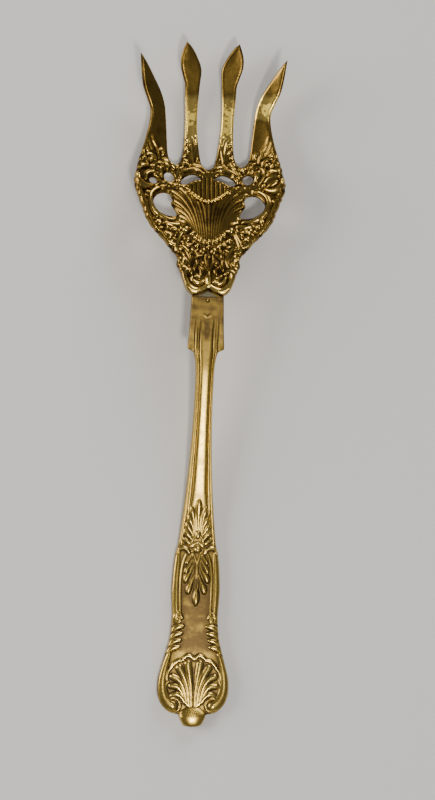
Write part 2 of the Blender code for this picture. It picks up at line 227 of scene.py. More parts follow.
class Outline:
    """Closed loops that have the material on their left, and the distance of points from them."""

    def __init__(self, loops):
        self.loops = loops
        self.start = np.vstack(loops)
        self.along = np.vstack([np.roll(loop, -1, axis=0) - loop for loop in loops])
        self.length = np.linalg.norm(self.along, axis=1)
        self.inward = np.column_stack([-self.along[:, 1], self.along[:, 0]]) / self.length[:, None]
        numbers = np.arange(len(self.start))
        parts = np.split(numbers, np.cumsum([len(loop) for loop in loops])[:-1])
        self.next = np.concatenate([np.roll(part, -1) for part in parts])
        self.before = np.concatenate([np.roll(part, 1) for part in parts])
        # Samples every tenth of a millimetre let the tree find the nearest edge.
        counts = np.ceil(self.length / 0.1).astype(int)
        self.owner = np.repeat(numbers, counts)
        share = (np.arange(len(self.owner)) - np.repeat(np.cumsum(counts) - counts, counts) + 0.5)
        share /= np.repeat(counts, counts)
        samples = self.start[self.owner] + share[:, None] * self.along[self.owner]
        self.tree = KDTree(len(samples))
        for i, (x, s) in enumerate(samples.tolist()):
            self.tree.insert((x, s, 0.0), i)
        self.tree.balance()

    def depth(self, points):
        """Distance from each point to the nearest loop, positive where the point is on the material."""
        find = self.tree.find
        nearest = self.owner[[find((x, s, 0.0))[1] for x, s in points.tolist()]]
        best, sign = np.full(len(points), 1e9), np.ones(len(points))
        for number in (nearest, self.before[nearest], self.next[nearest]):
            away = points - self.start[number]
            along = self.along[number]
            t = np.clip((away * along).sum(1) / self.length[number]**2, 0, 1)
            gap = away - t[:, None] * along
            far = np.linalg.norm(gap, axis=1)
            # At a corner, both of its edges say which side the point is on.
            facing = self.inward[number].copy()
            facing += np.where((t <= 0)[:, None], self.inward[self.before[number]], 0)
            facing += np.where((t >= 1)[:, None], self.inward[self.next[number]], 0)
            closer = far < best
            best[closer] = far[closer]
            sign[closer] = np.where((gap * facing).sum(1) < 0, -1, 1)[closer]
        return best * sign


# ---- relief ----


def melt(a, b, reach):
    """The higher of two heights, rounded where they cross."""
    share = np.clip(0.5 + 0.5 * (b - a) / reach, 0, 1)
    return a * (1 - share) + b * share + reach * share * (1 - share)


class Relief:
    """Heights, in millimetres, over points of the plan.

    Each shape is drawn on the right and is on the left too, unless side says 1 for right or -1 for left.
    """

    def __init__(self, x, s, plump):
        self.signed, self.x, self.s, self.plump = x, np.abs(x), s, plump
        self.z = np.zeros_like(x)

    def stroke(self, path, height, taper=0.45, hollow=0.0, side=0):
        """A rounded bar along a path of (x, s, half width) rows. A hollow one has a channel down it."""
        path = curve(path)
        half = np.maximum(path[:, 2], 0.05) * self.plump
        height = min(height, 0.9 * half.max())
        low = path[:, :2].min(0) - half.max()
        high = path[:, :2].max(0) + half.max()
        inside = (self.x > low[0]) & (self.x < high[0]) & (self.s > low[1]) & (self.s < high[1])
        if side:
            inside &= self.signed * side > 0
        where = np.flatnonzero(inside)
        if not len(where):
            return
        p = np.stack([self.x[where], self.s[where]], axis=1)[:, None]
        a, along = path[:-1, :2], np.diff(path[:, :2], axis=0)
        t = np.clip(((p - a) * along).sum(2) / np.maximum((along**2).sum(1), 1e-9), 0, 1)
        away = np.sqrt(((p - a - t[..., None] * along)**2).sum(2))
        width = half[:-1] + t * (half[1:] - half[:-1])
        share = np.clip(away / width, 0, 1)
        crown = (1 - share**2)**0.62 * (1 - hollow * (1 - share**2)**2)
        best = (crown * (width / half.max())**taper).max(1)
        on = where[best > 0]
        self.z[on] = melt(self.z[on], height * best[best > 0], 0.10)

    def bead(self, centre, radius, height):
        """A round knob."""
        self.stroke([(*centre, radius), (centre[0], centre[1] + 0.01, radius)], height)

    def spiral(self, centre, radius, start, turn, width, height, turns=1.3):
        """A volute: a bar that winds in from radius to a bead at its centre. Angles are in degrees."""
        rows = []
        for share in np.linspace(0, 1, 12):
            angle = math.radians(start + turn * 360 * turns * share)
            away = radius * (1 - 0.72 * share)
            rows.append((
                centre[0] + away * math.cos(angle),
                centre[1] + away * math.sin(angle),
                width * (1 - 0.35 * share),
            ))
        self.stroke(rows, height)
        self.bead(centre, radius * 0.42, height * 1.1)


# ---- meshes ----


def mesh_of(name, points, faces, cavity):
    """A smooth mesh from flat drawing coordinates, with its guide for patina and painted light as an
    attribute.
    """
    mesh = bpy.data.meshes.new(name)
    mesh.from_pydata(points.tolist(), [], faces)
    mesh.shade_smooth()
    guide = mesh.attributes.new("cavity", "FLOAT", "POINT")
    guide.data.foreach_set("value", cavity.astype(np.float32))
    return mesh


def blurred(values, edges, rounds):
    """Values averaged with their neighbours, some times over."""
    count = np.bincount(edges.ravel(), minlength=len(values))
    for _ in range(rounds):
        total = np.bincount(edges[:, 0], values[edges[:, 1]], len(values))
        total += np.bincount(edges[:, 1], values[edges[:, 0]], len(values))
        values = 0.35 * values + 0.65 * total / np.maximum(count, 1)
    return values


def edges_of(faces):
    """Every pair of neighbouring corners of the faces."""
    array = np.array([f[:3] for f in faces])
    return np.vstack([array[:, (0, 1)], array[:, (1, 2)], array[:, (2, 0)]])


def hex_points(low, high, pitch):
    """Points of a hexagonal grid between two corners."""
    rows = np.arange(low[1], high[1], pitch * math.sqrt(3) / 2)
    columns = np.arange(low[0], high[0], pitch)
    x, s = np.meshgrid(columns, rows)
    x[1::2] += pitch / 2
    return np.stack([x.ravel(), s.ravel()], axis=1)


def sheet_faces(points, outline):
    """Triangles, counter-clockwise, over the points within the outline, whose own points come first."""
    first = len(outline.start)
    edges = np.column_stack([np.arange(first), outline.next]).tolist()
    made, _, triangles, *_ = delaunay_2d_cdt([Vector(p) for p in points.tolist()], edges, [], 0, 1e-7)
    if len(made) != len(points):
        raise RuntimeError(f"the plan has {len(points) - len(made)} points that repeat")
    triangles = np.array(triangles)
    a, b, c = (points[triangles[:, i]] for i in range(3))
    turn = (b[:, 0] - a[:, 0]) * (c[:, 1] - a[:, 1]) - (b[:, 1] - a[:, 1]) * (c[:, 0] - a[:, 0])
    triangles = np.where(turn[:, None] < 0, triangles[:, ::-1], triangles)
    # Only a triangle between rim points can lie outside.
    doubtful = (triangles < first).all(1)
    keep = ~doubtful
    keep[doubtful] = outline.depth(points[triangles[doubtful]].mean(1)) > 0
    return triangles[keep & (np.abs(turn) > 1e-9)]


def sheet_of(points, outline):
    """The points and the triangles over them. Points are added until no edge crosses from rim to rim."""
    while True:
        faces = sheet_faces(points, outline)
        pairs = edges_of(faces)
        pairs = pairs[(pairs < len(outline.start)).all(1)]
        follows = outline.next[pairs[:, 0]] == pairs[:, 1]
        leads = outline.next[pairs[:, 1]] == pairs[:, 0]
        across = np.unique(np.sort(pairs[~follows & ~leads], axis=1), axis=0)
        if not len(across):
            return points, faces
        points = np.vstack([points, points[across].mean(1)])


def rim_rings(outline, insets):
    """Points that follow the loops a little way in, so that the rounded edge has its own rows."""
    inward = outline.inward + outline.inward[outline.before]
    inward /= np.maximum(np.linalg.norm(inward, axis=1, keepdims=True), 1e-9)
    rings = []
    for inset in insets:
        ring = outline.start + inset * inward
        rings.append(ring[np.abs(outline.depth(ring) - inset) < 0.2 * inset])
    return np.vstack(rings)


def spaced(points, pitch):
    """The points with any that crowd another left out."""
    cells, kept = set(), []
    for point in points.tolist():
        cell = (round(point[0] / pitch), round(point[1] / pitch))
        if cell not in cells:
            cells.add(cell)
            kept.append(point)
    return np.array(kept)


def cast_plate(name, outline, pitches, heights):
    """A closed plate over the outline. The grids' pitches are for the body, the tines and the back."""
    rim = outline.start
    low, high = rim.min(0), rim.max(0)
    rings = spaced(rim_rings(outline, (0.12, 0.3, HEAD_EDGE)), 0.12)
    body, tines, back = pitches
    tops = []
    for pitch, on_body_part in ((body, True), (tines, False)):
        grid = hex_points(low, high, pitch)
        grid = grid[(grid[:, 1] < CROTCH_AT + LEAF_REACH) == on_body_part]
        tops.append(grid[outline.depth(grid) > HEAD_EDGE + 0.45 * pitch])
    under = hex_points(low, high, back)
    under = under[outline.depth(under) > HEAD_EDGE + 0.3 * back]
    upper, face = sheet_of(np.vstack([rim, rings, *tops]), outline)
    lower, reverse = sheet_of(np.vstack([rim, rings, under]), outline)
    depths = []
    for points in (upper, lower):
        depths.append(np.maximum(outline.depth(points), 0))
        depths[-1][:len(rim)] = 0
    base, edge, relief, patina_and_painted_light = heights(upper, depths[0], True)
    edges = edges_of(face)
    relief = blurred(relief, edges, 2)
    z = base + relief * edge
    z_back = heights(lower, depths[1], False)[0]
    # How far each point stands above its surroundings.
    guide = relief - blurred(relief, edges, 14) + patina_and_painted_light
    own = np.arange(len(lower))
    own[len(rim):] += len(upper) - len(rim)
    points = np.vstack([
        np.column_stack([upper, z]),
        np.column_stack([lower[len(rim):], z_back[len(rim):]]),
    ])
    guide = np.append(guide, np.full(len(lower) - len(rim), BACK_GUIDE))
    return mesh_of(name, points, face.tolist() + own[reverse][:, ::-1].tolist(), guide)


# ---- the head ----


def on_body(point):
    return (point[0] * HEAD_STRETCH, HEAD_AT + point[1])


def on_tines(point):
    return (point[0] * HEAD_STRETCH, CROTCH_AT + point[1] * TINE_STRETCH)


def head_loops(step):
    """The head's outline, counter-clockwise, and its piercings, clockwise."""
    outside = curve([on_body(p) for p in BODY_EDGE] + [on_tines(p) for p in OUTER_TINE_OUTSIDE], step)
    # Leaf edges along the sides of the body stand out a little.
    lobes = np.abs(np.sin(np.pi * np.arange(len(outside)) * step / 2.9 + 0.6 * np.sin(outside[:, 1])))
    body = ease(outside[:, 1], HEAD_AT + 4, HEAD_AT + 10)
    body *= 1 - ease(outside[:, 1], CROTCH_AT, CROTCH_AT + 8)
    outside[:, 0] += 0.28 * body * (lobes - 0.5)
    between = curve([on_tines(p) for p in BETWEEN_TINES], step)
    inside = curve([on_tines(p) for p in INNER_TINE_INSIDE], step)
    outline = both_sides(joined(outside, between, inside))
    right = [
        curve([on_body(p) for p in SIDE_WINDOW], step, closed=True),
        curve([on_body(p) for p in ARCH_WINDOW], step, closed=True),
        ellipse(on_body(SCROLL_EYE[0]), SCROLL_EYE[1], 30),
    ]
    holes = []
    for hole in right:
        area = (hole[:, 0] * np.roll(hole[:, 1], -1) - hole[:, 1] * np.roll(hole[:, 0], -1)).sum()
        hole = hole[::-1] if area > 0 else hole
        holes += [hole, (hole * (-1, 1))[::-1]]
    # The outer eye is on the left only.
    eye = ellipse(on_body(OUTER_EYE[0]), OUTER_EYE[1], 24) * (-1, 1)
    return [outline, *holes, eye]


def shell_flutes(relief, ends, base, spread, height):
    """Ribs of a shell that leave its round foot upwards, bend out to their ends and nearly touch there."""
    for i, end in enumerate(ends):
        foot = spread * i / (len(ends) - 1)
        start = (foot, base + 0.10 * foot**2)
        bend = (start[0] + 0.16 * (end[0] - start[0]), start[1] + 0.76 * (end[1] - start[1]))
        rows = []
        for t in np.linspace(0, 1, 8):
            x = (1 - t)**2 * start[0] + 2 * t * (1 - t) * bend[0] + t**2 * end[0]
            s = (1 - t)**2 * start[1] + 2 * t * (1 - t) * bend[1] + t**2 * end[1]
            rows.append((x, s, 0.26 + 0.66 * t**0.9))
        relief.stroke(rows, height, taper=0.3)


def head_shells(relief):
    """The large scallop shell in the middle, and the small one that stands above its beaded lip."""
    ends = (
        (0.0, 180.4), (2.4, 180.9), (4.8, 182.1), (7.3, 184.0), (10.0, 184.9), (12.7, 183.7), (13.0, 180.8),
        (11.6, 177.5), (9.9, 175.0),
    )
    shell_flutes(relief, ends, 167.6, 6.2, 0.62)
    for i in range(5):
        x = 1.55 * i
        relief.stroke([(x, 181.6 + 0.06 * x**2, 0.5), (1.04 * x, 191.6 - 0.09 * x**2, 0.62)], 0.6)
    relief.stroke(LIP, 0.7)
    # Beads along the foot of the shell.
    for x, s, radius in ((0.0, 166.7, 0.66), (1.5, 166.9, 0.58), (2.9, 167.5, 0.7), (4.3, 168.4, 0.7),
                         (5.6, 169.6, 0.66), (6.8, 171.0, 0.6)):
        relief.bead((x, s), radius, 0.95)


def head_scrolls(relief):
    """C-scrolls round the piercings and down the sides."""
    for path, height in (
        # Arches over the two middle piercings, in nested ridges.
        ([(10.2, 190.6, 0.45), (9.0, 191.8, 0.52), (7.2, 192.6, 0.58), (4.9, 192.9, 0.58), (3.0, 192.3, 0.55),
          (1.7, 190.8, 0.5), (1.8, 188.8, 0.35)], 0.9),
        ([(6.8, 194.0, 0.35), (4.6, 194.3, 0.5), (2.4, 193.7, 0.5), (0.95, 192.3, 0.45), (0.7, 190.4, 0.35)],
         0.8),
        ([(2.6, 188.6, 0.3), (4.4, 188.3, 0.45), (6.6, 187.2, 0.5), (9.0, 186.8, 0.45)], 0.7),
        ([(9.0, 193.4, 0.4), (10.6, 192.0, 0.55), (11.2, 190.3, 0.5), (11.0, 188.6, 0.35)], 0.8),
        # The bar from the shell's lip out to the side.
        ([(7.4, 185.4, 0.5), (10.0, 186.6, 0.4), (13.0, 186.9, 0.4), (16.0, 186.9, 0.4), (18.4, 186.6, 0.3)],
         0.55),
        ([(8.6, 185.2, 0.3), (11.0, 185.8, 0.42), (14.0, 185.8, 0.42), (17.0, 185.9, 0.3)], 0.5),
        # Round the scroll's eye, and the bean between the two eyes with its ring.
        ([(12.0, 190.4, 0.3), (12.0, 188.9, 0.4), (13.1, 187.8, 0.45), (14.8, 187.8, 0.42),
          (15.8, 188.8, 0.35)], 0.7),
        ([(17.4, 192.2, 0.75), (17.1, 190.7, 0.9), (16.6, 189.1, 0.5)], 1.2),
        ([(15.4, 193.0, 0.35), (16.4, 193.9, 0.48), (18.0, 194.1, 0.5), (19.3, 193.2, 0.5),
          (19.6, 191.6, 0.48), (18.9, 189.9, 0.45), (17.8, 188.3, 0.42), (16.0, 187.0, 0.35)], 0.85),
        ([(18.2, 188.4, 0.3), (16.9, 187.2, 0.42), (15.2, 186.9, 0.3)], 0.7),
        # Leaf scales from the scroll's eye towards the inner tine.
        ([(16.0, 195.2, 0.5), (14.8, 194.7, 0.9), (13.9, 193.4, 0.6)], 0.95),
        ([(13.9, 194.4, 0.4), (12.8, 193.9, 0.8), (12.1, 192.8, 0.5)], 0.9),
        ([(12.0, 193.9, 0.35), (11.0, 193.4, 0.65), (10.6, 192.3, 0.4)], 0.8),
        # The leaf on the shoulder.
        ([(25.6, 189.6, 0.5), (25.3, 187.2, 1.0), (23.9, 185.7, 1.3), (21.8, 185.4, 0.95),
          (19.8, 186.0, 0.4)], 1.5),
        ([(24.8, 191.8, 0.4), (23.6, 192.6, 0.8), (21.9, 192.9, 0.6)], 0.95),
        # Inner rim of the side window, and its lower corner.
        ([(17.6, 185.2, 0.45), (19.6, 184.1, 0.65), (20.7, 182.3, 0.75), (20.8, 180.0, 0.8),
          (19.6, 177.5, 0.8), (17.3, 175.5, 0.75), (14.6, 174.3, 0.65), (12.2, 174.2, 0.4)], 0.95),
        ([(10.2, 172.6, 0.5), (12.4, 172.4, 0.7), (14.6, 172.8, 0.4)], 0.8),
        # Tails that run up the sloping sides from the volutes.
        ([(11.8, 165.2, 0.6), (14.4, 166.2, 0.85), (16.2, 168.4, 0.8), (17.4, 170.2, 0.5)], 1.0),
        ([(17.0, 169.8, 0.5), (19.0, 171.3, 0.85), (20.6, 173.6, 0.8), (21.8, 176.0, 0.5)], 1.0),
        ([(10.4, 169.6, 0.4), (11.6, 170.9, 0.6), (13.4, 171.0, 0.4)], 0.8),
        ([(11.0, 163.4, 0.6), (11.0, 165.6, 0.8), (10.2, 167.8, 0.7), (9.2, 169.6, 0.4)], 0.9),
    ):
        relief.stroke(path, height)
    # The frame of the side window is one broad band with a channel in it.
    relief.stroke(
        [(25.2, 184.4, 0.9), (24.5, 181.6, 1.3), (23.3, 178.6, 1.35), (21.9, 175.8, 1.15),
         (20.3, 173.6, 0.8)], 1.15, taper=0.3, hollow=0.4)
    for x, s, radius in ((8.8, 186.0, 0.6), (10.3, 186.5, 0.66), (11.9, 186.2, 0.55), (13.3, 186.6, 0.62),
                         (15.0, 186.2, 0.5)):
        relief.bead((x, s), radius, 1.15)
    relief.bead((19.2, 187.4), 0.6, 0.9)
    relief.spiral((13.5, 168.2), 1.9, 250, 1, 0.55, 0.95, turns=0.9)
    relief.spiral((17.3, 172.6), 1.8, 240, 1, 0.52, 0.9, turns=0.9)
    # The outer eye has a ring on the left. On the right the leaf goes on over that place.
    relief.stroke(
        [(17.7, 187.4, 0.3), (17.6, 189.2, 0.42), (18.7, 190.3, 0.5), (20.6, 190.6, 0.55),
         (22.1, 189.7, 0.55), (22.4, 188.0, 0.5)], 0.9, side=-1)
    for path in (
        [(19.8, 188.6, 0.4), (21.0, 189.8, 0.8), (22.6, 190.6, 0.9), (24.2, 190.6, 0.5)],
        [(20.2, 186.6, 0.4), (21.6, 187.6, 0.75), (23.2, 188.8, 0.7)],
        [(20.4, 191.2, 0.35), (21.4, 191.9, 0.55), (22.6, 192.0, 0.4)],
    ):
        relief.stroke(path, 1.05, side=1)


def head_base(relief):
    """The knobs and nested curls under the shell, the side volutes and the two base lobes."""
    for x, s, radius, height in (
        (7.9, 171.0, 1.05, 1.2), (7.2, 167.4, 0.8, 1.0), (1.9, 163.7, 1.0, 1.05), (5.9, 163.4, 0.95, 1.0),
        (3.9, 165.4, 0.7, 0.85), (0.0, 165.1, 0.6, 0.75), (2.4, 158.9, 0.7, 0.7), (4.2, 161.2, 0.6, 0.75),
        (0.0, 161.2, 0.5, 0.5), (9.4, 166.3, 0.5, 0.8),
    ):
        relief.bead((x, s), radius, height)
    for path, height in (
        # Nested curls that sweep in from the sides.
        ([(10.4, 164.9, 0.4), (8.4, 164.4, 0.55), (7.0, 162.6, 0.55), (6.3, 160.4, 0.5), (6.8, 158.2, 0.35)],
         0.8),
        ([(8.8, 168.4, 0.35), (8.0, 166.0, 0.45), (6.2, 165.6, 0.42), (5.2, 166.6, 0.3)], 0.7),
        ([(3.8, 164.0, 0.3), (4.6, 162.9, 0.45), (3.6, 161.6, 0.45), (2.4, 161.9, 0.3)], 0.7),
        ([(1.2, 162.0, 0.3), (1.4, 160.2, 0.42), (0.9, 158.2, 0.42), (0.4, 156.6, 0.25)], 0.5),
        ([(4.5, 159.9, 0.4), (4.4, 158.3, 0.7), (5.0, 157.0, 0.4)], 0.9),
        ([(3.2, 157.6, 0.4), (2.4, 156.6, 0.6), (2.7, 155.4, 0.4)], 0.75),
        # The base lobes: a rim that sweeps round and curls in, and lines within it.
        ([(0.8, 151.2, 0.65), (2.8, 150.0, 0.95), (5.2, 149.8, 1.15), (7.5, 151.3, 1.35), (8.7, 153.8, 1.25),
          (8.2, 156.0, 0.9), (6.7, 156.5, 0.6), (5.9, 155.5, 0.5)], 1.2),
        ([(1.9, 152.7, 0.45), (3.6, 152.2, 0.6), (5.2, 152.8, 0.62), (5.8, 154.0, 0.5)], 0.8),
        ([(3.2, 154.2, 0.5), (4.3, 154.6, 0.45)], 0.65),
        ([(0.0, 151.2, 0.65), (0.0, 153.6, 0.85), (0.0, 155.8, 0.4)], 0.9),
        ([(9.9, 156.0, 0.6), (9.2, 157.2, 0.7), (7.6, 157.3, 0.4)], 0.9),
    ):
        relief.stroke(path, height)
    relief.spiral((8.9, 159.8), 1.7, 300, -1, 0.52, 0.95, turns=0.95)


def head_leaves(relief):
    """The low leaves at the roots of the tines, with raised veins and curled lobes."""
    for path, height in (
        # Outer tines.
        ([(20.7, 204.6, 0.12), (19.9, 202.0, 0.3), (18.5, 199.6, 0.38), (17.9, 197.6, 0.34),
          (17.7, 195.8, 0.3)], 0.42),
        ([(22.0, 203.0, 0.12), (21.2, 200.8, 0.3), (20.2, 198.8, 0.34)], 0.38),
        ([(22.4, 201.0, 0.15), (22.2, 199.3, 0.4), (21.6, 198.2, 0.5)], 0.5),
        ([(16.2, 197.3, 0.35), (16.3, 198.4, 0.5), (17.0, 198.9, 0.55), (17.7, 198.4, 0.42)], 0.6),
        ([(21.8, 197.0, 0.35), (20.5, 196.8, 0.6), (19.3, 195.9, 0.65), (18.9, 194.6, 0.45)], 0.85),
        ([(23.3, 195.6, 0.35), (22.5, 195.0, 0.6), (21.8, 194.0, 0.4)], 0.75),
        ([(23.6, 198.4, 0.2), (23.3, 196.8, 0.45), (22.6, 196.0, 0.4)], 0.55),
        # Inner tines.
        ([(6.7, 203.6, 0.12), (6.1, 200.6, 0.3), (5.7, 197.6, 0.36), (5.3, 195.2, 0.3)], 0.42),
        ([(4.3, 201.2, 0.12), (4.9, 198.6, 0.3), (5.2, 196.6, 0.3)], 0.38),
        ([(8.7, 201.2, 0.3), (8.5, 202.2, 0.45), (7.8, 202.5, 0.5), (7.1, 202.0, 0.4)], 0.6),
        ([(8.5, 200.4, 0.3), (7.8, 199.8, 0.6), (7.1, 198.8, 0.4)], 0.62),
        ([(5.5, 204.4, 0.2), (4.8, 204.3, 0.42), (4.3, 203.4, 0.48), (4.4, 202.3, 0.3)], 0.55),
        ([(8.8, 196.0, 0.35), (7.8, 195.5, 0.58), (7.0, 194.6, 0.4)], 0.7),
        ([(4.0, 196.6, 0.25), (3.5, 195.3, 0.42), (2.6, 194.9, 0.3)], 0.55),
    ):
        relief.stroke(path, height)
    relief.bead((20.7, 194.9), 0.8, 0.85)
    relief.bead((8.4, 197.4), 0.6, 0.65)


def in_shell(x, s):
    """True over the shells."""
    return (166.0 < s < 185.5 and x < 6.5 + 0.55 * (s - 167.0)) or (185.0 <= s < 192.0 and x < 8.0)


def filler_knobs(relief, outline):
    """Small curls and grains that fill the ground between the larger shapes."""
    pick = np.random.default_rng(7)
    grid = hex_points((9.0, HEAD_AT + 10), (26.0, CROTCH_AT + 3), 2.1)
    grid += pick.uniform(-0.3, 0.3, grid.shape)
    depths = outline.depth(grid)
    for (x, s), depth in zip(grid, depths):
        angle, length = pick.uniform(0, math.pi), pick.uniform(0.4, 1.1)
        width, height = pick.uniform(0.5, 0.75), pick.uniform(0.45, 0.7)
        near = (np.abs(relief.signed - x) < 0.5) & (np.abs(relief.s - s) < 0.5)
        if depth < 0.6 or in_shell(x, s) or not near.any() or relief.z[near].mean() > 0.3:
            continue
        dx, ds = length * math.cos(angle), length * math.sin(angle)
        relief.stroke([(x - dx, s - ds, width * 0.6), (x, s, width), (x + dx, s + ds, 0.2)], height)


def lip_beads():
    """Points of the beaded lip between the two shells, with each bead's radius, both sides."""
    path = curve(LIP, 0.02)[:, :2]
    run = np.append(0, np.cumsum(np.linalg.norm(np.diff(path, axis=0), axis=1)))
    at = np.arange(0, run[-1], 1.3)
    x, s = np.interp(at, run, path[:, 0]), np.interp(at, run, path[:, 1])
    x, s = np.append(x, -x[1:]), np.append(s, s[1:])
    return np.column_stack([x, s]), 0.72 + 0.10 * np.cos(7 * x)


def head_heights(outline, share):
    """The height function of the head, for cast_plate. The ornament has this share of its real depth."""

    def heights(points, depth, top):
        x, s = points.T
        edge = rounded(depth, HEAD_EDGE)
        neck = 1 - ease(s, HEAD_AT + 8, HEAD_AT + 18)
        # The base stands clear of the tongue, which lies in a recess on its back.
        over = 1 - ease(np.abs(x), TONGUE_HALF_WIDTH + 0.9, TONGUE_HALF_WIDTH + 1.3)
        over *= 1 - ease(s, TONGUE_END + 0.9, TONGUE_END + 1.3)
        middle = ROOF_MIDDLE * over
        if not top:
            recess = middle - (ROOF_MIDDLE - ROOF) * over * edge - (1 - over) * edge
            return (np.where(over > 0, recess, -PLATE_HALF * edge),)
        tip = ease(s, CROTCH_AT + 26, LENGTH - 1)
        on_tine = ease(s, CROTCH_AT + 6, CROTCH_AT + 16)
        ground = (PLATE_HALF - SUNK) * (1 - 0.5 * tip) + neck
        # Each tine is flat with a bevel, and its spear tip has a soft ridge.
        crown = 0.16 * np.clip(depth / 0.7, 0, 1) + 0.07 * tip * np.clip(depth, 0, 2.6)
        relief = Relief(x, s, 1.3)
        head_shells(relief)
        head_scrolls(relief)
        head_base(relief)
        head_leaves(relief)
        filler_knobs(relief, outline)
        # The shells are hollow, and painted shade darkens their middle; the middle of the base is darker too.
        # Frames are rubbed.
        hollow = mound(s, *SHELL_HOLLOW)
        ground -= 0.25 * mound(x, 0, 8.5) * hollow
        low = (1 - ease(s, 160.0, 168.0)) * (1 - ease(np.abs(x), 5.0, 8.0)) * ease(s, 153.0, 157.0)
        worked = relief.z * share * (1 - 0.25 * low) + on_tine * crown
        patina_and_painted_light = 0.02 - 0.15 * np.exp(-(x / 7.2)**4) * hollow - 0.13 * low
        # A painted reflection lightens the bottom of the base lobes.
        patina_and_painted_light += 0.12 * (1 - ease(s, 152.0, 155.5))
        # Painted highlights on the tines, above their leaves, where the guide goes to bare bright brass; the
        # tines are otherwise a little darker.
        inner = mound(s, *INNER_TINE_HIGHLIGHT) * (np.abs(x) < 12)
        right = mound(s, *RIGHT_TINE_HIGHLIGHT) * (x > 15)
        patina_and_painted_light += 0.95 * np.maximum(inner, 0.75 * right) - 0.05 * on_tine
        return middle + (ground - middle) * edge, edge, worked, patina_and_painted_light

    return heights


# ---- the handle ----


def handle_half_widths(s):
    """Half the handle's width at each s, from the edge runs and the tongue's round corners."""
    edge = joined(*[curve(run, 0.25) for run in HANDLE_RUNS])
    corner_s = TONGUE_END - TONGUE_CORNER
    flat = TONGUE_HALF_WIDTH - TONGUE_CORNER
    turns = np.linspace(0, math.pi / 2, 12)
    arc = np.stack([flat + TONGUE_CORNER * np.cos(turns), corner_s + TONGUE_CORNER * np.sin(turns)], axis=1)
    edge = joined(edge, arc)
    at = np.maximum.accumulate(edge[:, 1] + 1e-6 * np.arange(len(edge)))
    return np.interp(s, at, edge[:, 0])


def half_thickness(s):
    """Half the handle's thickness along its middle: the end's, the stem's, then the shoulders'."""
    stem = END_HALF + (STEM_HALF - END_HALF) * ease(s, 48, SHOULDER_AT - 8)
    return stem + (SHOULDER_HALF - stem) * ease(s, SHOULDER_AT - 8, SHOULDER_AT + 6)


def stem_threads(x, s, half):
    """The plain convex band up the middle of the stem, with a bead and an outer rib on each side."""
    reach = np.where(s < 118.0, half, np.minimum(half, 3.4 + 0.5 * ease(s, 121, 131)))
    v = np.abs(x) / reach
    band = 0.5 * np.sqrt(np.clip(1 - (v / 0.56)**5, 0, 1))
    bead = 0.34 * bar(v, 0.71, 0.095)
    rib = 0.42 * bar(v, 0.90, 0.11)
    wing = 0.30 * ease(v, 1.02, 1.10)
    # They run from the plume to the plate at the top, where they die away; the rib runs on past the plume.
    plume = ease(s, 73.0, 84.0)
    top = 1 - ease(s, 133.0, 142.0)
    rib *= ease(s, 61.5, 64.0)
    threads = np.maximum.reduce([band * plume, bead * ease(s, 71.0, 76.0), rib, wing])
    return threads * top + 0.30 * (1 - top)


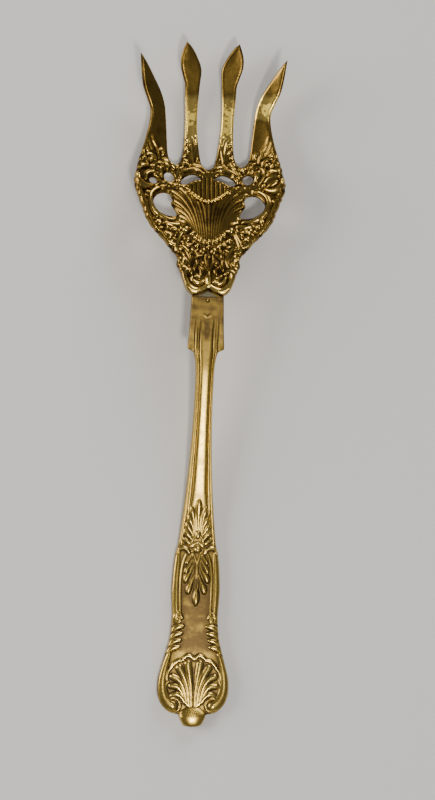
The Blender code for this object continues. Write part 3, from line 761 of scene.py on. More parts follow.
def handle_plumes(relief):
    """The two honeysuckle plumes, root to root, and the scroll arches beside them."""
    for path, height in (
        # The low body of each plume.
        ([(0, 63.5, 1.6), (0, 67.0, 2.6), (0, 71.0, 2.2), (0, 75.0, 1.2), (0, 77.0, 0.5)], 0.36),
        ([(0, 59.5, 1.2), (0, 55.5, 2.6), (0, 51.0, 2.4), (0, 47.0, 1.3), (0, 44.5, 0.5)], 0.32),
        # The upper plume: a smooth middle leaf, four curled lobes a side, and two veins.
        ([(0, 68.8, 0.5), (0, 72.4, 0.6), (0, 75.4, 0.95), (0, 77.4, 0.9), (0, 78.8, 0.3)], 0.62),
        ([(0.6, 67.8, 0.28), (0.75, 70.6, 0.32), (1.1, 72.8, 0.26)], 0.4),
        ([(1.3, 69.6, 0.3), (1.7, 72.2, 0.5), (2.2, 74.2, 0.85), (2.5, 75.8, 0.55)], 0.68),
        ([(1.5, 67.9, 0.3), (2.1, 69.8, 0.5), (2.9, 71.4, 0.85), (3.3, 72.8, 0.5)], 0.68),
        ([(1.7, 66.3, 0.3), (2.6, 67.7, 0.5), (3.5, 69.0, 0.85), (3.9, 70.3, 0.5)], 0.68),
        ([(1.8, 64.4, 0.4), (2.9, 65.8, 0.55), (3.9, 66.9, 0.8), (4.4, 68.0, 0.5)], 0.68),
        ([(2.4, 63.2, 0.4), (3.4, 63.9, 0.6), (4.5, 64.9, 0.5)], 0.58),
        # The bud and its two collars.
        ([(0, 65.9, 0.85), (0, 66.9, 0.85)], 0.9),
        ([(1.9, 63.9, 0.45), (1.5, 65.2, 0.5), (0.7, 66.2, 0.4)], 0.7),
        ([(1.9, 62.3, 0.5), (1.0, 63.3, 0.55), (0.0, 63.8, 0.5)], 0.75),
        # The lower plume hangs from the bead: a collar, four lobes a side and a drop.
        ([(1.7, 60.6, 0.35), (0.9, 58.8, 0.45), (0.2, 56.8, 0.4)], 0.55),
        ([(1.5, 59.8, 0.3), (2.6, 58.0, 0.45), (3.5, 56.6, 0.6)], 0.55),
        ([(1.5, 57.8, 0.3), (2.5, 55.8, 0.45), (3.5, 54.2, 0.75), (3.8, 53.2, 0.5)], 0.64),
        ([(1.2, 56.0, 0.35), (2.0, 53.8, 0.5), (3.4, 51.6, 0.95), (3.8, 50.2, 0.6)], 0.74),
        ([(0.8, 52.4, 0.35), (1.5, 50.2, 0.5), (2.5, 47.9, 0.98), (2.8, 46.4, 0.6)], 0.76),
        ([(0, 56.6, 0.5), (0, 54.4, 0.85), (0, 52.0, 0.7)], 0.5),
        ([(0.4, 50.6, 0.3), (0.45, 48.2, 0.45), (0.0, 46.4, 0.4)], 0.5),
        ([(0, 47.2, 0.5), (0, 45.2, 0.95), (0, 43.4, 0.85), (0, 42.0, 0.3)], 0.8),
        # Arches, and the lines that run down from them.
        ([(2.7, 59.8, 0.4), (3.5, 61.2, 0.55), (5.0, 61.8, 0.66), (6.5, 61.2, 0.64), (7.2, 59.9, 0.45)],
         0.85),
        ([(3.7, 59.6, 0.3), (4.7, 56.5, 0.4), (5.4, 51.0, 0.36), (5.4, 44.0, 0.34), (5.2, 39.0, 0.3)], 0.42),
        ([(6.4, 60.6, 0.5), (6.7, 56.5, 0.9), (7.1, 50.0, 0.95), (7.0, 44.0, 0.9), (6.7, 38.6, 0.7)], 0.52),
    ):
        relief.stroke(path, height)
    relief.bead((0, 61.2), 1.0, 0.95)


def handle_gadroons(relief):
    """The bars on each side above the shell, and the rosettes at their head."""
    for i, s in enumerate((34.1, 31.7, 29.3, 27.0)):
        near, far = 4.3 + 0.42 * i, 8.0 + 0.42 * i
        relief.stroke([(near, s + 0.5, 0.55), ((near + far) / 2, s + 0.2, 0.98), (far, s - 1.0, 0.8)], 0.85)
    relief.spiral((5.9, 36.9), 1.4, 120, -1, 0.48, 0.85)
    relief.stroke([(4.4, 37.4, 0.35), (5.2, 38.6, 0.5), (5.9, 39.8, 0.25)], 0.7)
    relief.stroke([(7.5, 37.4, 0.4), (6.8, 38.6, 0.5), (6.0, 39.6, 0.3)], 0.7)


def handle_shell(relief):
    """The shell end: flutes in a scalloped rim, between two arms that end in volutes, over the button."""
    for path, height in (
        # Flutes, from the middle outwards.
        ([(0.42, 6.8, 0.28), (0.75, 13.0, 0.55), (1.5, 18.0, 0.9), (2.1, 21.8, 1.05)], 0.62),
        ([(1.15, 7.0, 0.3), (2.0, 13.2, 0.6), (3.5, 17.6, 0.98), (5.1, 20.4, 1.0)], 0.66),
        ([(1.8, 7.3, 0.3), (3.1, 12.6, 0.6), (4.9, 16.0, 0.98), (7.3, 17.3, 0.9)], 0.72),
        ([(2.4, 7.8, 0.3), (3.8, 11.6, 0.6), (5.6, 13.8, 0.95), (7.8, 14.1, 0.8)], 0.75),
        ([(3.0, 8.4, 0.4), (4.2, 10.4, 0.65), (5.7, 11.3, 0.9), (7.4, 10.8, 0.6)], 0.8),
        # Scalloped rim.
        ([(0.0, 23.2, 0.45), (0.9, 24.1, 0.52), (2.0, 24.6, 0.55), (3.2, 24.0, 0.52), (4.1, 22.9, 0.42)],
         0.66),
        ([(4.1, 22.9, 0.42), (5.4, 22.8, 0.52), (6.8, 21.8, 0.52), (7.8, 20.2, 0.42)], 0.64),
        ([(7.8, 20.2, 0.4), (8.8, 19.0, 0.48), (9.2, 17.2, 0.46), (8.9, 15.6, 0.36)], 0.6),
        ([(8.9, 15.6, 0.36), (9.5, 14.0, 0.44), (9.2, 12.0, 0.42), (8.3, 10.4, 0.35)], 0.6),
        # The arm swells down into the volute, and a fine line winds round it.
        ([(8.7, 25.0, 0.7), (10.1, 20.8, 1.15), (10.9, 16.6, 1.35), (10.8, 12.9, 1.35), (9.9, 10.0, 1.4),
          (8.4, 8.0, 1.6), (7.2, 7.2, 1.65)], 0.95),
        ([(7.6, 9.9, 0.35), (5.9, 9.7, 0.42), (4.7, 8.7, 0.42), (4.5, 7.0, 0.42), (5.4, 5.7, 0.42),
          (7.4, 5.2, 0.4), (9.6, 6.6, 0.35), (11.2, 9.6, 0.3)], 0.6),
    ):
        relief.stroke(path, height)


def handle_relief(x, s, half, depth, share):
    """The plain height of the handle's face, the ornament on it, and the shift of its patina guide, which is
    mostly painted shade.
    """
    middle = half_thickness(s)
    flat_strap = ease(s, SHOULDER_AT, SHOULDER_AT + 6)
    crown = RIM_HALF + (middle - RIM_HALF) * (1 - (np.abs(x) / half)**3 * (1 - flat_strap))
    relief = Relief(x, s, 1.18)
    relief.z += np.where(s > 60.5, stem_threads(x, s, half), 0.0)
    # A thin raised border follows the edge of the shell end and of the panel above it, but not the gadroons.
    beside_gadroons = ease(s, 23.0, 25.5) * (1 - ease(s, 35.0, 37.0))
    border = 0.34 * bar(depth, 0.5, 0.45)
    border *= ease(s, 5.0, 8.0) * (1 - ease(s, 60.0, 64.0)) * (1 - beside_gadroons)
    relief.z = np.maximum(relief.z, border)
    handle_plumes(relief)
    handle_gadroons(relief)
    handle_shell(relief)
    # The small chevron where the threads end, and the button at the other end.
    relief.stroke([(0.0, 140.9, 0.36), (1.0, 141.5, 0.42), (1.9, 142.1, 0.25)], 0.55)
    button = np.clip(1 - (np.abs(x) / 4.9)**2 - ((s - 3.45) / 3.5)**2, 0, 1)
    relief.z = melt(relief.z, 1.05 * button**0.42 - 0.04, 0.1)
    # Painted shade darkens the panel, along with its tarnish, and the flat strap; the strap's middle, darkest
    # of all, is a painted dark hollow.
    panel = ease(s, 24.5, 28.0) * (1 - ease(s, 56.0, 62.0)) * (1 - ease(np.abs(x), 4.6, 5.6))
    dull = mound(x, 0, 1.0) * mound(s, 136.8, 3.0)
    patina_and_painted_light = -0.14 * panel - 0.12 * ease(s, 122.0, 140.0) - 0.12 * dull
    # A dimple round the pin.
    relief.z -= 0.18 * bar(np.hypot(x, s - PIN_AT), 0, 0.72)
    return crown - SUNK, relief.z * share, patina_and_painted_light


def softened(rows):
    """A grid of heights with its sharpest corners taken off."""
    for axis in (0, 1):
        padded = np.concatenate([rows.take([0], axis), rows, rows.take([-1], axis)], axis)
        size = rows.shape[axis]
        before, after = padded.take(range(size), axis), padded.take(range(2, size + 2), axis)
        rows = 0.5 * rows + 0.25 * (before + after)
    return rows


def handle_mesh(name, depth_of_relief):
    """The handle, as rows across it and columns that follow its edge."""
    # Rows lie close over the ornament, the seam and the pin. Small offsets keep any two from meeting.
    steps = np.sort(np.concatenate([
        np.arange(0.12, 82.0, 0.2),
        np.arange(82.1, 126.0, 0.5),
        np.arange(126.1, TONGUE_END - 0.1, 0.25),
        np.arange(3.4, 6.4, 0.1) + 0.013,
        np.arange(128.6, 131.0, 0.1) + 0.013,
        np.arange(PIN_AT - 1.1, PIN_AT + 1.1, 0.11) + 0.007,
        [STEP_AT - 0.02, STEP_AT + 0.02],
    ]))
    half = handle_half_widths(steps)
    # Columns crowd towards the edges.
    crowding = 1.1
    columns = np.sin(np.linspace(-crowding, crowding, 115)) / math.sin(crowding)
    x = half[:, None] * columns
    s = np.repeat(steps[:, None], len(columns), axis=1)
    ends = np.array([(0.0, 0.0), (0.0, TONGUE_END)])
    outline = Outline([np.vstack([
        ends[:1], np.column_stack([half, steps]), ends[1:], np.column_stack([-half, steps])[::-1],
    ])])
    depth = outline.depth(np.stack([x.ravel(), s.ravel()], axis=1)).reshape(x.shape)
    depth = np.maximum(depth, 0)
    depth[:, (0, -1)] = 0
    wide = np.repeat(half[:, None], len(columns), axis=1)
    ground, worked, patina_and_painted_light = (
        values.reshape(x.shape)
        for values in handle_relief(x.ravel(), s.ravel(), wide.ravel(), depth.ravel(), depth_of_relief)
    )
    worked = softened(worked)
    top = (ground + worked) * rounded(depth, FACE_EDGE)
    top = np.where(s > STEP_AT, np.minimum(top, SEAT_TOP), top)
    # The back is flat where the fork rests on it, and crowned along the stem. It keeps one column in six.
    kept = np.arange(3, len(columns) - 3, 6)
    bx, bs, bd = x[:, kept], s[:, kept], depth[:, kept]
    thick = half_thickness(bs)
    crown = RIM_HALF + (thick - RIM_HALF) * (1 - (np.abs(bx) / wide[:, kept])**3)
    crown = np.where(bs > SHOULDER_AT, thick, crown)
    reach = END_HALF + (crown - END_HALF) * ease(bs, 18, 48)
    bottom = -reach * rounded(bd, BACK_EDGE)
    rows, wide_count, back_count = len(steps), len(columns), len(kept)
    grid = np.arange(rows * wide_count).reshape(rows, wide_count)
    back = rows * wide_count + np.arange(rows * back_count).reshape(rows, back_count)
    back = np.column_stack([grid[:, 0], back, grid[:, -1]])
    tip = rows * wide_count + rows * back_count
    faces = []
    for sheet, flip in ((grid, False), (back, True)):
        a, b, c, d = sheet[:-1, :-1], sheet[:-1, 1:], sheet[1:, 1:], sheet[1:, :-1]
        quads = np.stack([a, b, c, d], axis=-1).reshape(-1, 4)
        faces += (quads[:, ::-1] if flip else quads).tolist()
        for row, number, turn in ((sheet[0], tip, 1), (sheet[-1], tip + 1, -1)):
            for left, right in zip(row, row[1:]):
                face = [number, int(right), int(left)][::turn]
                faces.append(face[::-1] if flip else face)
    points = np.vstack([
        np.column_stack([x.ravel(), s.ravel(), top.ravel()]),
        np.column_stack([bx.ravel(), bs.ravel(), bottom.ravel()]),
        np.column_stack([ends, [0, -0.4]]),
    ])
    relief = np.concatenate([worked.ravel(), np.zeros(bx.size), [0, 0]])
    pairs = np.array([f[:3] for f in faces if max(f) < grid.size])
    pairs = np.vstack([pairs[:, (0, 1)], pairs[:, (1, 2)]])
    cavity = relief - blurred(relief, pairs, 30)
    cavity[:grid.size] += patina_and_painted_light.ravel()
    cavity[grid.size:] = BACK_GUIDE
    return mesh_of(name, points, faces, cavity)


# ---- the pin ----


def pin_mesh(name):
    """A turned shape, from the top down: a domed, peened head over a plain shank."""
    profile = (
        (0.0, 1.42), (0.5, 1.36), (0.86, 1.18), (1.0, 0.95), (1.0, -1.25), (0.8, -1.4), (0.0, -1.45),
    )
    turns = np.linspace(0, 2 * math.pi, 32, endpoint=False)
    points = [(0.0, PIN_AT, profile[0][1])]
    for share, height in profile[1:-1]:
        radius = share * PIN_RADIUS
        points += [(radius * math.cos(a), PIN_AT + radius * math.sin(a), height) for a in turns]
    points.append((0.0, PIN_AT, profile[-1][1]))
    count, last = len(turns), len(points) - 1
    faces = []
    for i in range(count):
        j = (i + 1) % count
        faces += [(0, 1 + i, 1 + j), (last, last - count + j, last - count + i)]
        for ring in range(len(profile) - 3):
            top, low = 1 + ring * count, 1 + (ring + 1) * count
            faces.append((top + i, low + i, low + j, top + j))
    return mesh_of(name, np.array(points), faces, np.full(len(points), PIN_GUIDE))


# ---- node trees ----


class Wire:
    """A socket that can stand in a sum, and adds the Math nodes that work the sum out."""

    def __init__(self, board, socket):
        self.board, self.socket = board, socket

    def __add__(self, other):
        return self.board.math("ADD", self, other)

    def __sub__(self, other):
        return self.board.math("SUBTRACT", self, other)

    def __rsub__(self, other):
        return self.board.math("SUBTRACT", other, self)

    def __mul__(self, other):
        return self.board.math("MULTIPLY", self, other)

    def __truediv__(self, other):
        return self.board.math("DIVIDE", self, other)

    def __pow__(self, other):
        return self.board.math("POWER", self, other)

    __radd__, __rmul__ = __add__, __mul__


class Board:
    """A node tree that is filled in one node at a time."""

    def __init__(self, tree):
        self.tree = tree

    def feed(self, node, sockets):
        """Gives a node's sockets their values or wires."""
        for name, value in sockets.items():
            if isinstance(value, Wire):
                self.tree.links.new(value.socket, node.inputs[name])
            else:
                node.inputs[name].default_value = value

    def node(self, kind, settings=None, sockets=None, out=0):
        """Adds a node, sets it, feeds it, and returns one of its outputs."""
        made = self.tree.nodes.new(kind)
        for name, value in (settings or {}).items():
            setattr(made, name, value)
        self.feed(made, sockets or {})
        return Wire(self, made.outputs[out])

    def math(self, operation, first, second=0.0):
        """A sum on numbers."""
        return self.node("ShaderNodeMath", {"operation": operation}, {0: first, 1: second})

    def vector(self, operation, sockets):
        """A sum on vectors."""
        return self.node("ShaderNodeVectorMath", {"operation": operation}, sockets)

    def span(self, value, low, high, to_low=0.0, to_high=1.0):
        """Value carried from one range to another, easing in and out."""
        sockets = {"Value": value, "From Min": low, "From Max": high, "To Min": to_low, "To Max": to_high}
        return self.node("ShaderNodeMapRange", {"interpolation_type": "SMOOTHSTEP"}, sockets)

    def blend(self, share, first, second):
        """Two colours mixed. The mix node keeps them in its sockets 6 and 7 and its output 2."""
        settings = {"data_type": "RGBA", "clamp_factor": True}
        return self.node("ShaderNodeMix", settings, {0: share, 6: first, 7: second}, out=2)


class ShapeBoard(Board):
    """A geometry tree with a geometry, some sizes and a material going in, and a geometry coming out."""

    def __init__(self, name, sizes):
        super().__init__(bpy.data.node_groups.new(name, "GeometryNodeTree"))
        sides = self.tree.interface
        sides.new_socket("Geometry", in_out="INPUT", socket_type="NodeSocketGeometry")
        sides.new_socket("Geometry", in_out="OUTPUT", socket_type="NodeSocketGeometry")
        for label, value in sizes.items():
            sides.new_socket(label, in_out="INPUT", socket_type="NodeSocketFloat").default_value = value
        sides.new_socket("Material", in_out="INPUT", socket_type="NodeSocketMaterial")
        given = self.tree.nodes.new("NodeGroupInput").outputs
        self.given = {name: Wire(self, given[name]) for name in ("Geometry", *sizes, "Material")}

    def shown(self, geometry):
        """Makes the geometry real, gives it the material and puts it out. Returns the tree."""
        solid = self.node("GeometryNodeRealizeInstances", None, {"Geometry": geometry})
        finish = {"Geometry": solid, "Material": self.given["Material"]}
        finished = self.node("GeometryNodeSetMaterial", None, finish)
        self.feed(self.tree.nodes.new("NodeGroupOutput"), {0: finished})
        return self.tree


SHEET_SIZES = {
    "Rise From": RISE_FROM, "Neck": STEP_AT, "Lift": APEX_LIFT, "Low": LOW_AT, "Drop": HEAD_DROP,
    "Tip Rise": TIP_RISE, "Tip Run": LENGTH - LOW_AT, "Dish From": HEAD_AT, "Dish Run": DISH_RUN,
    "Dish Radius": DISH_RADIUS, "End Y": END_Y, "Base Z": END_HALF, "Unit": MM,
}
BEAD_SIZES = {"Flatness": 0.8}


def sheet_tree():
    """Lays a flat drawing on the fork's curved sheet: each point's height goes square to the sheet."""
    board = ShapeBoard("lay_on_sheet", SHEET_SIZES)
    size = board.given
    parts = board.node("ShaderNodeSeparateXYZ", None, {0: board.node("GeometryNodeInputPosition")})
    x, s, height = (Wire(board, socket) for socket in parts.socket.node.outputs)

    def level(x, s):
        """Height of the sheet over the plan."""
        rise = board.span(s, size["Rise From"], size["Neck"])
        fall = board.span(s, size["Neck"], size["Low"])
        profile = size["Lift"] * (rise - fall) - size["Drop"] * fall
        past = board.math("MAXIMUM", s - size["Low"])
        radius = size["Dish Radius"]
        hub = board.math("SQRT", radius * radius - x * x)
        dish = (radius - hub) * board.span(s, size["Dish From"], size["Dish From"] + size["Dish Run"])
        return profile + size["Tip Rise"] * (past / size["Tip Run"]) ** 2.0 + dish

    # The sheet's slopes, from its heights a small step to each side.
    step = 0.05
    slope_x = (level(x + step, s) - level(x - step, s)) / (2 * step)
    slope_s = (level(x, s + step) - level(x, s - step)) / (2 * step)
    lean = board.node("ShaderNodeCombineXYZ", None, {0: slope_x * -1.0, 1: slope_s * -1.0, 2: 1.0})
    lift = board.vector("SCALE", {0: board.vector("NORMALIZE", {0: lean}), "Scale": height})
    on_sheet = {0: x, 1: s + size["End Y"], 2: level(x, s) + size["Base Z"]}
    place = board.vector("ADD", {0: board.node("ShaderNodeCombineXYZ", None, on_sheet), 1: lift})
    real = board.vector("SCALE", {0: place, "Scale": size["Unit"]})
    moved = {"Geometry": size["Geometry"], "Position": real}
    return board.shown(board.node("GeometryNodeSetPosition", None, moved))


def bead_tree():
    """A small ball on every point, as wide as the point's radius."""
    board = ShapeBoard("bead_row", BEAD_SIZES)
    radius = board.node("GeometryNodeInputNamedAttribute", {"data_type": "FLOAT"}, {"Name": "radius"})
    ball = board.node("GeometryNodeMeshUVSphere", None, {"Segments": 14, "Rings": 9, "Radius": 1.0})
    radii = {0: radius, 1: radius, 2: radius * board.given["Flatness"]}
    scale = board.node("ShaderNodeCombineXYZ", None, radii)
    row = {"Points": board.given["Geometry"], "Instance": ball, "Scale": scale}
    return board.shown(board.node("GeometryNodeInstanceOnPoints", None, row))


def grown(name, mesh, tree, values):
    """The mesh that a tree makes of this one, as a plain object."""
    seed = bpy.data.objects.new(name + "_drawing", mesh)
    bpy.context.scene.collection.objects.link(seed)
    modifier = seed.modifiers.new(tree.name, "NODES")
    modifier.node_group = tree
    for item in tree.interface.items_tree:
        if item.in_out == "INPUT" and item.name in values:
            modifier[item.identifier] = values[item.name]
    graph = bpy.context.evaluated_depsgraph_get()
    made = bpy.data.meshes.new_from_object(seed.evaluated_get(graph), depsgraph=graph)
    bpy.data.objects.remove(seed, do_unlink=True)
    made.name = name
    piece = bpy.data.objects.new(name, made)
    bpy.context.scene.collection.objects.link(piece)
    made.shade_smooth()
    return piece


def laid(name, mesh, material):
    """The flat drawing laid on the curved sheet."""
    return grown(name, mesh, sheet_tree(), {**SHEET_SIZES, "Material": material})


# ---- finishes ----


# Bright bare brass, for spots rubbed through and for painted highlights.
BARE_BRASS_AND_HIGHLIGHT = (0.98, 0.72, 0.14)


def new_finish(name):
    """A new material, the board of its tree and its shader."""
    material = bpy.data.materials.new(name)
    material.use_nodes = True
    return material, Board(material.node_tree), material.node_tree.nodes["Principled BSDF"]


def patinated_brass(name, deep, face, bright, roughness, mottle, smear=1.0):
    """Brass dark in its recesses and rubbed bright on its high places, with painted highlights of bare brass
    where its guide is near one. Smear draws its stains out sideways.

    Roughness is given for the recesses and for the high places.
    """
    material, board, shader = new_finish(name)
    place = board.node("ShaderNodeTexCoord", out="Object")
    cavity = board.node("ShaderNodeAttribute", {"attribute_name": "cavity"}, out="Fac")
    drawn = board.node("ShaderNodeMapping", None, {"Vector": place, "Scale": (1.0 / smear, smear, 1.0)})
    # Clouds a few millimetres across, specks of one or two, and a finer grain.
    cloud = board.node("ShaderNodeTexNoise", None, {"Vector": drawn, "Scale": 190.0, "Detail": 5.0})
    speck = board.node("ShaderNodeTexNoise", None, {"Vector": place, "Scale": 620.0, "Detail": 4.0})
    grain = board.node("ShaderNodeTexNoise", None, {"Vector": place, "Scale": 1500.0, "Detail": 3.0})
    worn_and_painted_light = cavity + (cloud - 0.5) * mottle + (speck - 0.5) * (0.5 * mottle)
    colour = board.blend(board.span(worn_and_painted_light, -0.17, 0.03), (*deep, 1), (*face, 1))
    colour = board.blend(board.span(worn_and_painted_light, 0.06, 0.26), colour, (*bright, 1))
    # Thin stains, at most half covering.
    stain = board.span(cloud * 0.5 + speck * 0.5, 0.50, 0.66, 0.0, 0.5)
    colour = board.blend(stain, colour, tuple(0.5 * c for c in face) + (1,))
    # Where the guide is near one the patina is gone altogether, with a ragged edge: bare brass rubbed through
    # on high ridges, and painted highlights on the tines.
    bare_and_highlight = board.span(cavity + (cloud - 0.5) * 2.2 + (speck - 0.5) * 2.2, 0.62, 0.74)
    bare_and_highlight = bare_and_highlight * board.span(cavity, 0.12, 0.30)
    colour = board.blend(bare_and_highlight, colour, (*BARE_BRASS_AND_HIGHLIGHT, 1))
    rough = board.span(worn_and_painted_light, -0.15, 0.12, *roughness) + (grain - 0.5) * 0.10 + stain * 0.08 + bare_and_highlight * 0.16
    skin = {"Strength": 0.12, "Distance": 0.2 * MM, "Height": grain * 0.5 + cloud}
    bump = board.node("ShaderNodeBump", None, skin)
    board.feed(shader, {"Metallic": 1.0, "Base Color": colour, "Roughness": rough, "Normal": bump})
    return material


def solder_finish(name, colour):
    """Dull, slightly pitted solder."""
    material, board, shader = new_finish(name)
    place = board.node("ShaderNodeTexCoord", out="Object")
    pits = board.node("ShaderNodeTexNoise", None, {"Vector": place, "Scale": 1800.0, "Detail": 3.0})
    tint = board.blend(board.span(pits, 0.35, 0.65), tuple(0.6 * c for c in colour) + (1,), (*colour, 1))
    bump = board.node("ShaderNodeBump", None, {"Strength": 0.3, "Distance": 0.1 * MM, "Height": pits})
    rough = board.span(pits, 0.3, 0.7, 0.38, 0.6)
    board.feed(shader, {"Metallic": 0.9, "Base Color": tint, "Roughness": rough, "Normal": bump})
    return material


def matt_finish(name, colour):
    """An even, matt colour."""
    material, board, shader = new_finish(name)
    board.feed(shader, {"Base Color": (*colour, 1), "Roughness": 0.9})
    return material


# ---- what a user would change ----


def shade(name, description, default):
    """A colour property."""
    return bpy.props.FloatVectorProperty(
        name=name, description=description, default=default, subtype="COLOR", size=3, min=0.0, max=1.0,
    )


def depth_share(name, description):
    """How deep some ornament is, as a share of the real one."""
    return bpy.props.FloatProperty(
        name=name, description=description, default=1.0, min=0.2, max=1.5, subtype="FACTOR",
    )


class ForkSizes(bpy.types.PropertyGroup):
    handle_relief: depth_share("Handle relief", "Depth of the struck ornament, as a share of the real one")
    head_relief: depth_share("Head relief", "Depth of the cast ornament, as a share of the real one")
    head_grid: bpy.props.FloatProperty(
        name="Head grid", description="Spacing of the head's finest points",
        default=0.22 * MM, min=0.1 * MM, max=2 * MM, precision=5, unit="LENGTH",
    )


class ForkFinishes(bpy.types.PropertyGroup):
    handle_deep: shade("Handle recesses", "Brass in the handle's grooves", (0.10, 0.064, 0.024))
    handle_face: shade("Handle face", "Plain brass of the handle", (0.53, 0.355, 0.078))
    handle_bright: shade("Handle high places", "Rubbed brass on the handle's ridges", (0.90, 0.65, 0.18))
    head_deep: shade("Head recesses", "Patina in the head's recesses", (0.045, 0.026, 0.008))
    head_face: shade("Head face", "Antique gilt of the head", (0.26, 0.16, 0.035))
    head_bright: shade("Head high places", "Rubbed gilt on the head's ridges", (0.78, 0.54, 0.13))
    solder: shade("Solder", "Dull solder in the joint", (0.26, 0.24, 0.16))


class ForkStage(bpy.types.PropertyGroup):
    floor: shade("Floor", "Colour of the floor", (0.78, 0.77, 0.76))
    key_power: bpy.props.FloatProperty(
        name="Key light", description="Power of the main lamp", default=2.9, min=0.0, unit="POWER",
    )
    camera_distance: bpy.props.FloatProperty(
        name="Camera distance", description="From the camera to the fork", default=0.7, unit="LENGTH",
    )


# ---- operators ----


class FORK_OT_handle(bpy.types.Operator):
    """Builds the struck handle with its shell end, plumes and threads"""

    bl_idname = "fork.handle"
    bl_label = "Struck handle"

    def execute(self, context):
        sizes, finish = context.scene.fork_sizes, context.scene.fork_finishes
        brass = patinated_brass(
            "handle_gilt_brass", finish.handle_deep, finish.handle_face, finish.handle_bright,
            roughness=(0.38, 0.20), mottle=0.22, smear=1.7,
        )
        piece = laid("struck_handle", handle_mesh("struck_handle", sizes.handle_relief), brass)
        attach(piece, "root")
        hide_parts("handle")
        return {"FINISHED"}


class FORK_OT_head(bpy.types.Operator):
    """Builds the pierced, cast head with its four tines"""

    bl_idname = "fork.head"
    bl_label = "Cast head"

    def execute(self, context):
        sizes, finish = context.scene.fork_sizes, context.scene.fork_finishes
        brass = patinated_brass(
            "head_antique_brass", finish.head_deep, finish.head_face, finish.head_bright,
            roughness=(0.34, 0.17), mottle=0.34,
        )
        outline = Outline(head_loops(0.3))
        pitch = sizes.head_grid / MM
        heights = head_heights(outline, sizes.head_relief)
        plate = cast_plate("cast_head", outline, (pitch, 0.34, 0.5), heights)
        piece = laid("cast_head", plate, brass)
        spots, radii = lip_beads()
        seeds = bpy.data.meshes.new("lip_beads")
        seeds.from_pydata([(x, s, LIP_BEAD_HEIGHT) for x, s in spots], [], [])
        seeds.attributes.new("radius", "FLOAT", "POINT").data.foreach_set("value", radii)
        beads = grown("lip_bead_balls", seeds, bead_tree(), {**BEAD_SIZES, "Material": brass})
        guide = beads.data.attributes.new("cavity", "FLOAT", "POINT")
        guide.data.foreach_set("value", np.full(len(beads.data.vertices), BEAD_GUIDE, np.float32))
        row = laid("lip_beads", beads.data, brass)
        bpy.data.objects.remove(beads, do_unlink=True)
        with context.temp_override(active_object=piece, selected_editable_objects=[piece, row]):
            bpy.ops.object.join()
        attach(piece, "root")
        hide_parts("head")
        return {"FINISHED"}


class FORK_OT_joint(bpy.types.Operator):
    """Builds the peened pin and finishes the solder round the tongue"""

    bl_idname = "fork.joint"
    bl_label = "Pin and solder"

    def execute(self, context):
        finish = context.scene.fork_finishes
        brass = patinated_brass(
            "pin_bright_brass", finish.handle_deep, finish.handle_bright, (0.95, 0.85, 0.6),
            roughness=(0.35, 0.22), mottle=0.1,
        )
        piece = laid("peened_pin", pin_mesh("peened_pin"), brass)
        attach(piece, "root")
        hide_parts("locating_pin")
        dull = solder_finish("dull_solder", finish.solder)
        for node in ("solder_bead", "solder_pool"):
            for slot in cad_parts[node].material_slots:
                slot.material = dull
        return {"FINISHED"}


# Each lamp's name, place and width in metres, and its power as a share of the key light's.
LAMPS = (
    ("key_light", (0.07, -0.32, 0.78), 0.12, 1.0),
    ("tine_light", (0.10, 0.08, 0.80), 0.10, 0.13),
    ("side_light", (-1.1, 0.2, 0.42), 0.7, 4.4),
    ("far_light", (0.5, 1.2, 0.42), 0.7, 4.2),
)
WARM_WHITE, COOL_WHITE = (1.0, 0.95, 0.86), (0.9, 0.93, 1.0)
ROOM_LIGHT = 0.22
# The floor lies just under the fork, so that the two faces don't meet. Half its width is in metres.
FLOOR_Z, FLOOR_REACH = -0.1 * MM, 2
# The middle and the height of the view, in millimetres.
VIEW_MIDDLE, VIEW_HEIGHT = (5.2, -5.1, 6.0), 276.0
# In degrees: how far the camera stands over to the fork's left and towards its end, and is turned.
LEAN_LEFT, LEAN_END, ROLL = 6.65, 1.7, 1.65


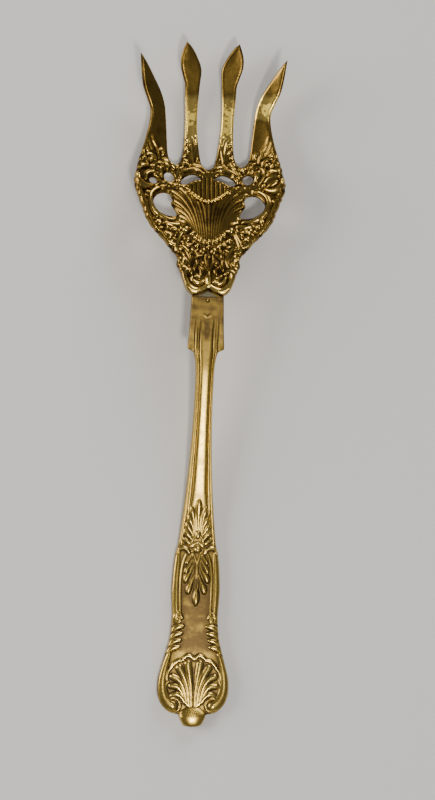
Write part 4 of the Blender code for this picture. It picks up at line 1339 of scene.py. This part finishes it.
class FORK_OT_stage(bpy.types.Operator):
    """Sets the floor, the lights and the camera"""

    bl_idname = "fork.stage"
    bl_label = "Stage"

    def execute(self, context):
        stage = context.scene.fork_stage
        floor = bpy.data.meshes.new("floor")
        reach = FLOOR_REACH
        corners = ((-reach, -reach), (reach, -reach), (reach, reach), (-reach, reach))
        floor.from_pydata([(*corner, FLOOR_Z) for corner in corners], [], [(0, 1, 2, 3)])
        floor.materials.append(matt_finish("pale_floor", stage.floor))
        ground = bpy.data.objects.new("floor", floor)
        context.scene.collection.objects.link(ground)
        world = bpy.data.worlds.new("studio")
        world.use_nodes = True
        background = world.node_tree.nodes["Background"]
        Board(world.node_tree).feed(background, {"Color": (*COOL_WHITE, 1), "Strength": ROOM_LIGHT})
        context.scene.world = world
        for name, place, width, share in LAMPS:
            lamp = bpy.data.lights.new(name, "AREA")
            lamp.size, lamp.energy, lamp.color = width, share * stage.key_power, WARM_WHITE
            light = bpy.data.objects.new(name, lamp)
            light.location = place
            light.rotation_euler = (-Vector(place)).to_track_quat("-Z", "Y").to_euler()
            context.scene.collection.objects.link(light)
        # Looking down on the fork, from a little to its left and towards its handle.
        lean_left, lean_end, roll = (math.radians(angle) for angle in (LEAN_LEFT, LEAN_END, ROLL))
        away = Vector((-math.tan(lean_left), -math.tan(lean_end), 1.0)).normalized()
        up = Vector((-math.sin(roll), math.cos(roll), 0.0))
        right = up.cross(away).normalized()
        camera_data = bpy.data.cameras.new("camera")
        camera = bpy.data.objects.new("camera", camera_data)
        turn = Matrix((right, away.cross(right), away)).transposed().to_4x4()
        place = Vector(VIEW_MIDDLE) * MM + stage.camera_distance * away
        camera.matrix_world = Matrix.Translation(place) @ turn
        camera_data.sensor_fit = "VERTICAL"
        camera_data.sensor_height = 24.0
        camera_data.lens = camera_data.sensor_height * stage.camera_distance / (VIEW_HEIGHT * MM)
        camera_data.clip_start = 0.01
        context.scene.collection.objects.link(camera)
        context.scene.camera = camera
        return {"FINISHED"}


class FORK_PT_panel(bpy.types.Panel):
    """The fork's sizes, finishes and parts"""

    bl_idname = "FORK_PT_panel"
    bl_label = "Serving fork"
    bl_space_type = "VIEW_3D"
    bl_region_type = "UI"
    bl_category = "Fork"

    def draw(self, context):
        for group in (context.scene.fork_sizes, context.scene.fork_finishes, context.scene.fork_stage):
            box = self.layout.box()
            for name in group.bl_rna.properties.keys():
                if name not in ("rna_type", "name"):
                    box.prop(group, name)
        for operator in OPERATORS:
            self.layout.operator(operator.bl_idname)


GROUPS = {"fork_sizes": ForkSizes, "fork_finishes": ForkFinishes, "fork_stage": ForkStage}
OPERATORS = (FORK_OT_handle, FORK_OT_head, FORK_OT_joint, FORK_OT_stage)


def register():
    for kind in (*GROUPS.values(), *OPERATORS, FORK_PT_panel):
        bpy.utils.register_class(kind)
    for name, kind in GROUPS.items():
        setattr(bpy.types.Scene, name, bpy.props.PointerProperty(type=kind))


def unregister():
    for name in GROUPS:
        delattr(bpy.types.Scene, name)
    for kind in reversed((*GROUPS.values(), *OPERATORS, FORK_PT_panel)):
        bpy.utils.unregister_class(kind)


def main():
    """Builds the fork on its stage."""
    register()
    bpy.ops.fork.handle()
    bpy.ops.fork.head()
    bpy.ops.fork.joint()
    bpy.ops.fork.stage()


if __name__ == "__main__":
    main()
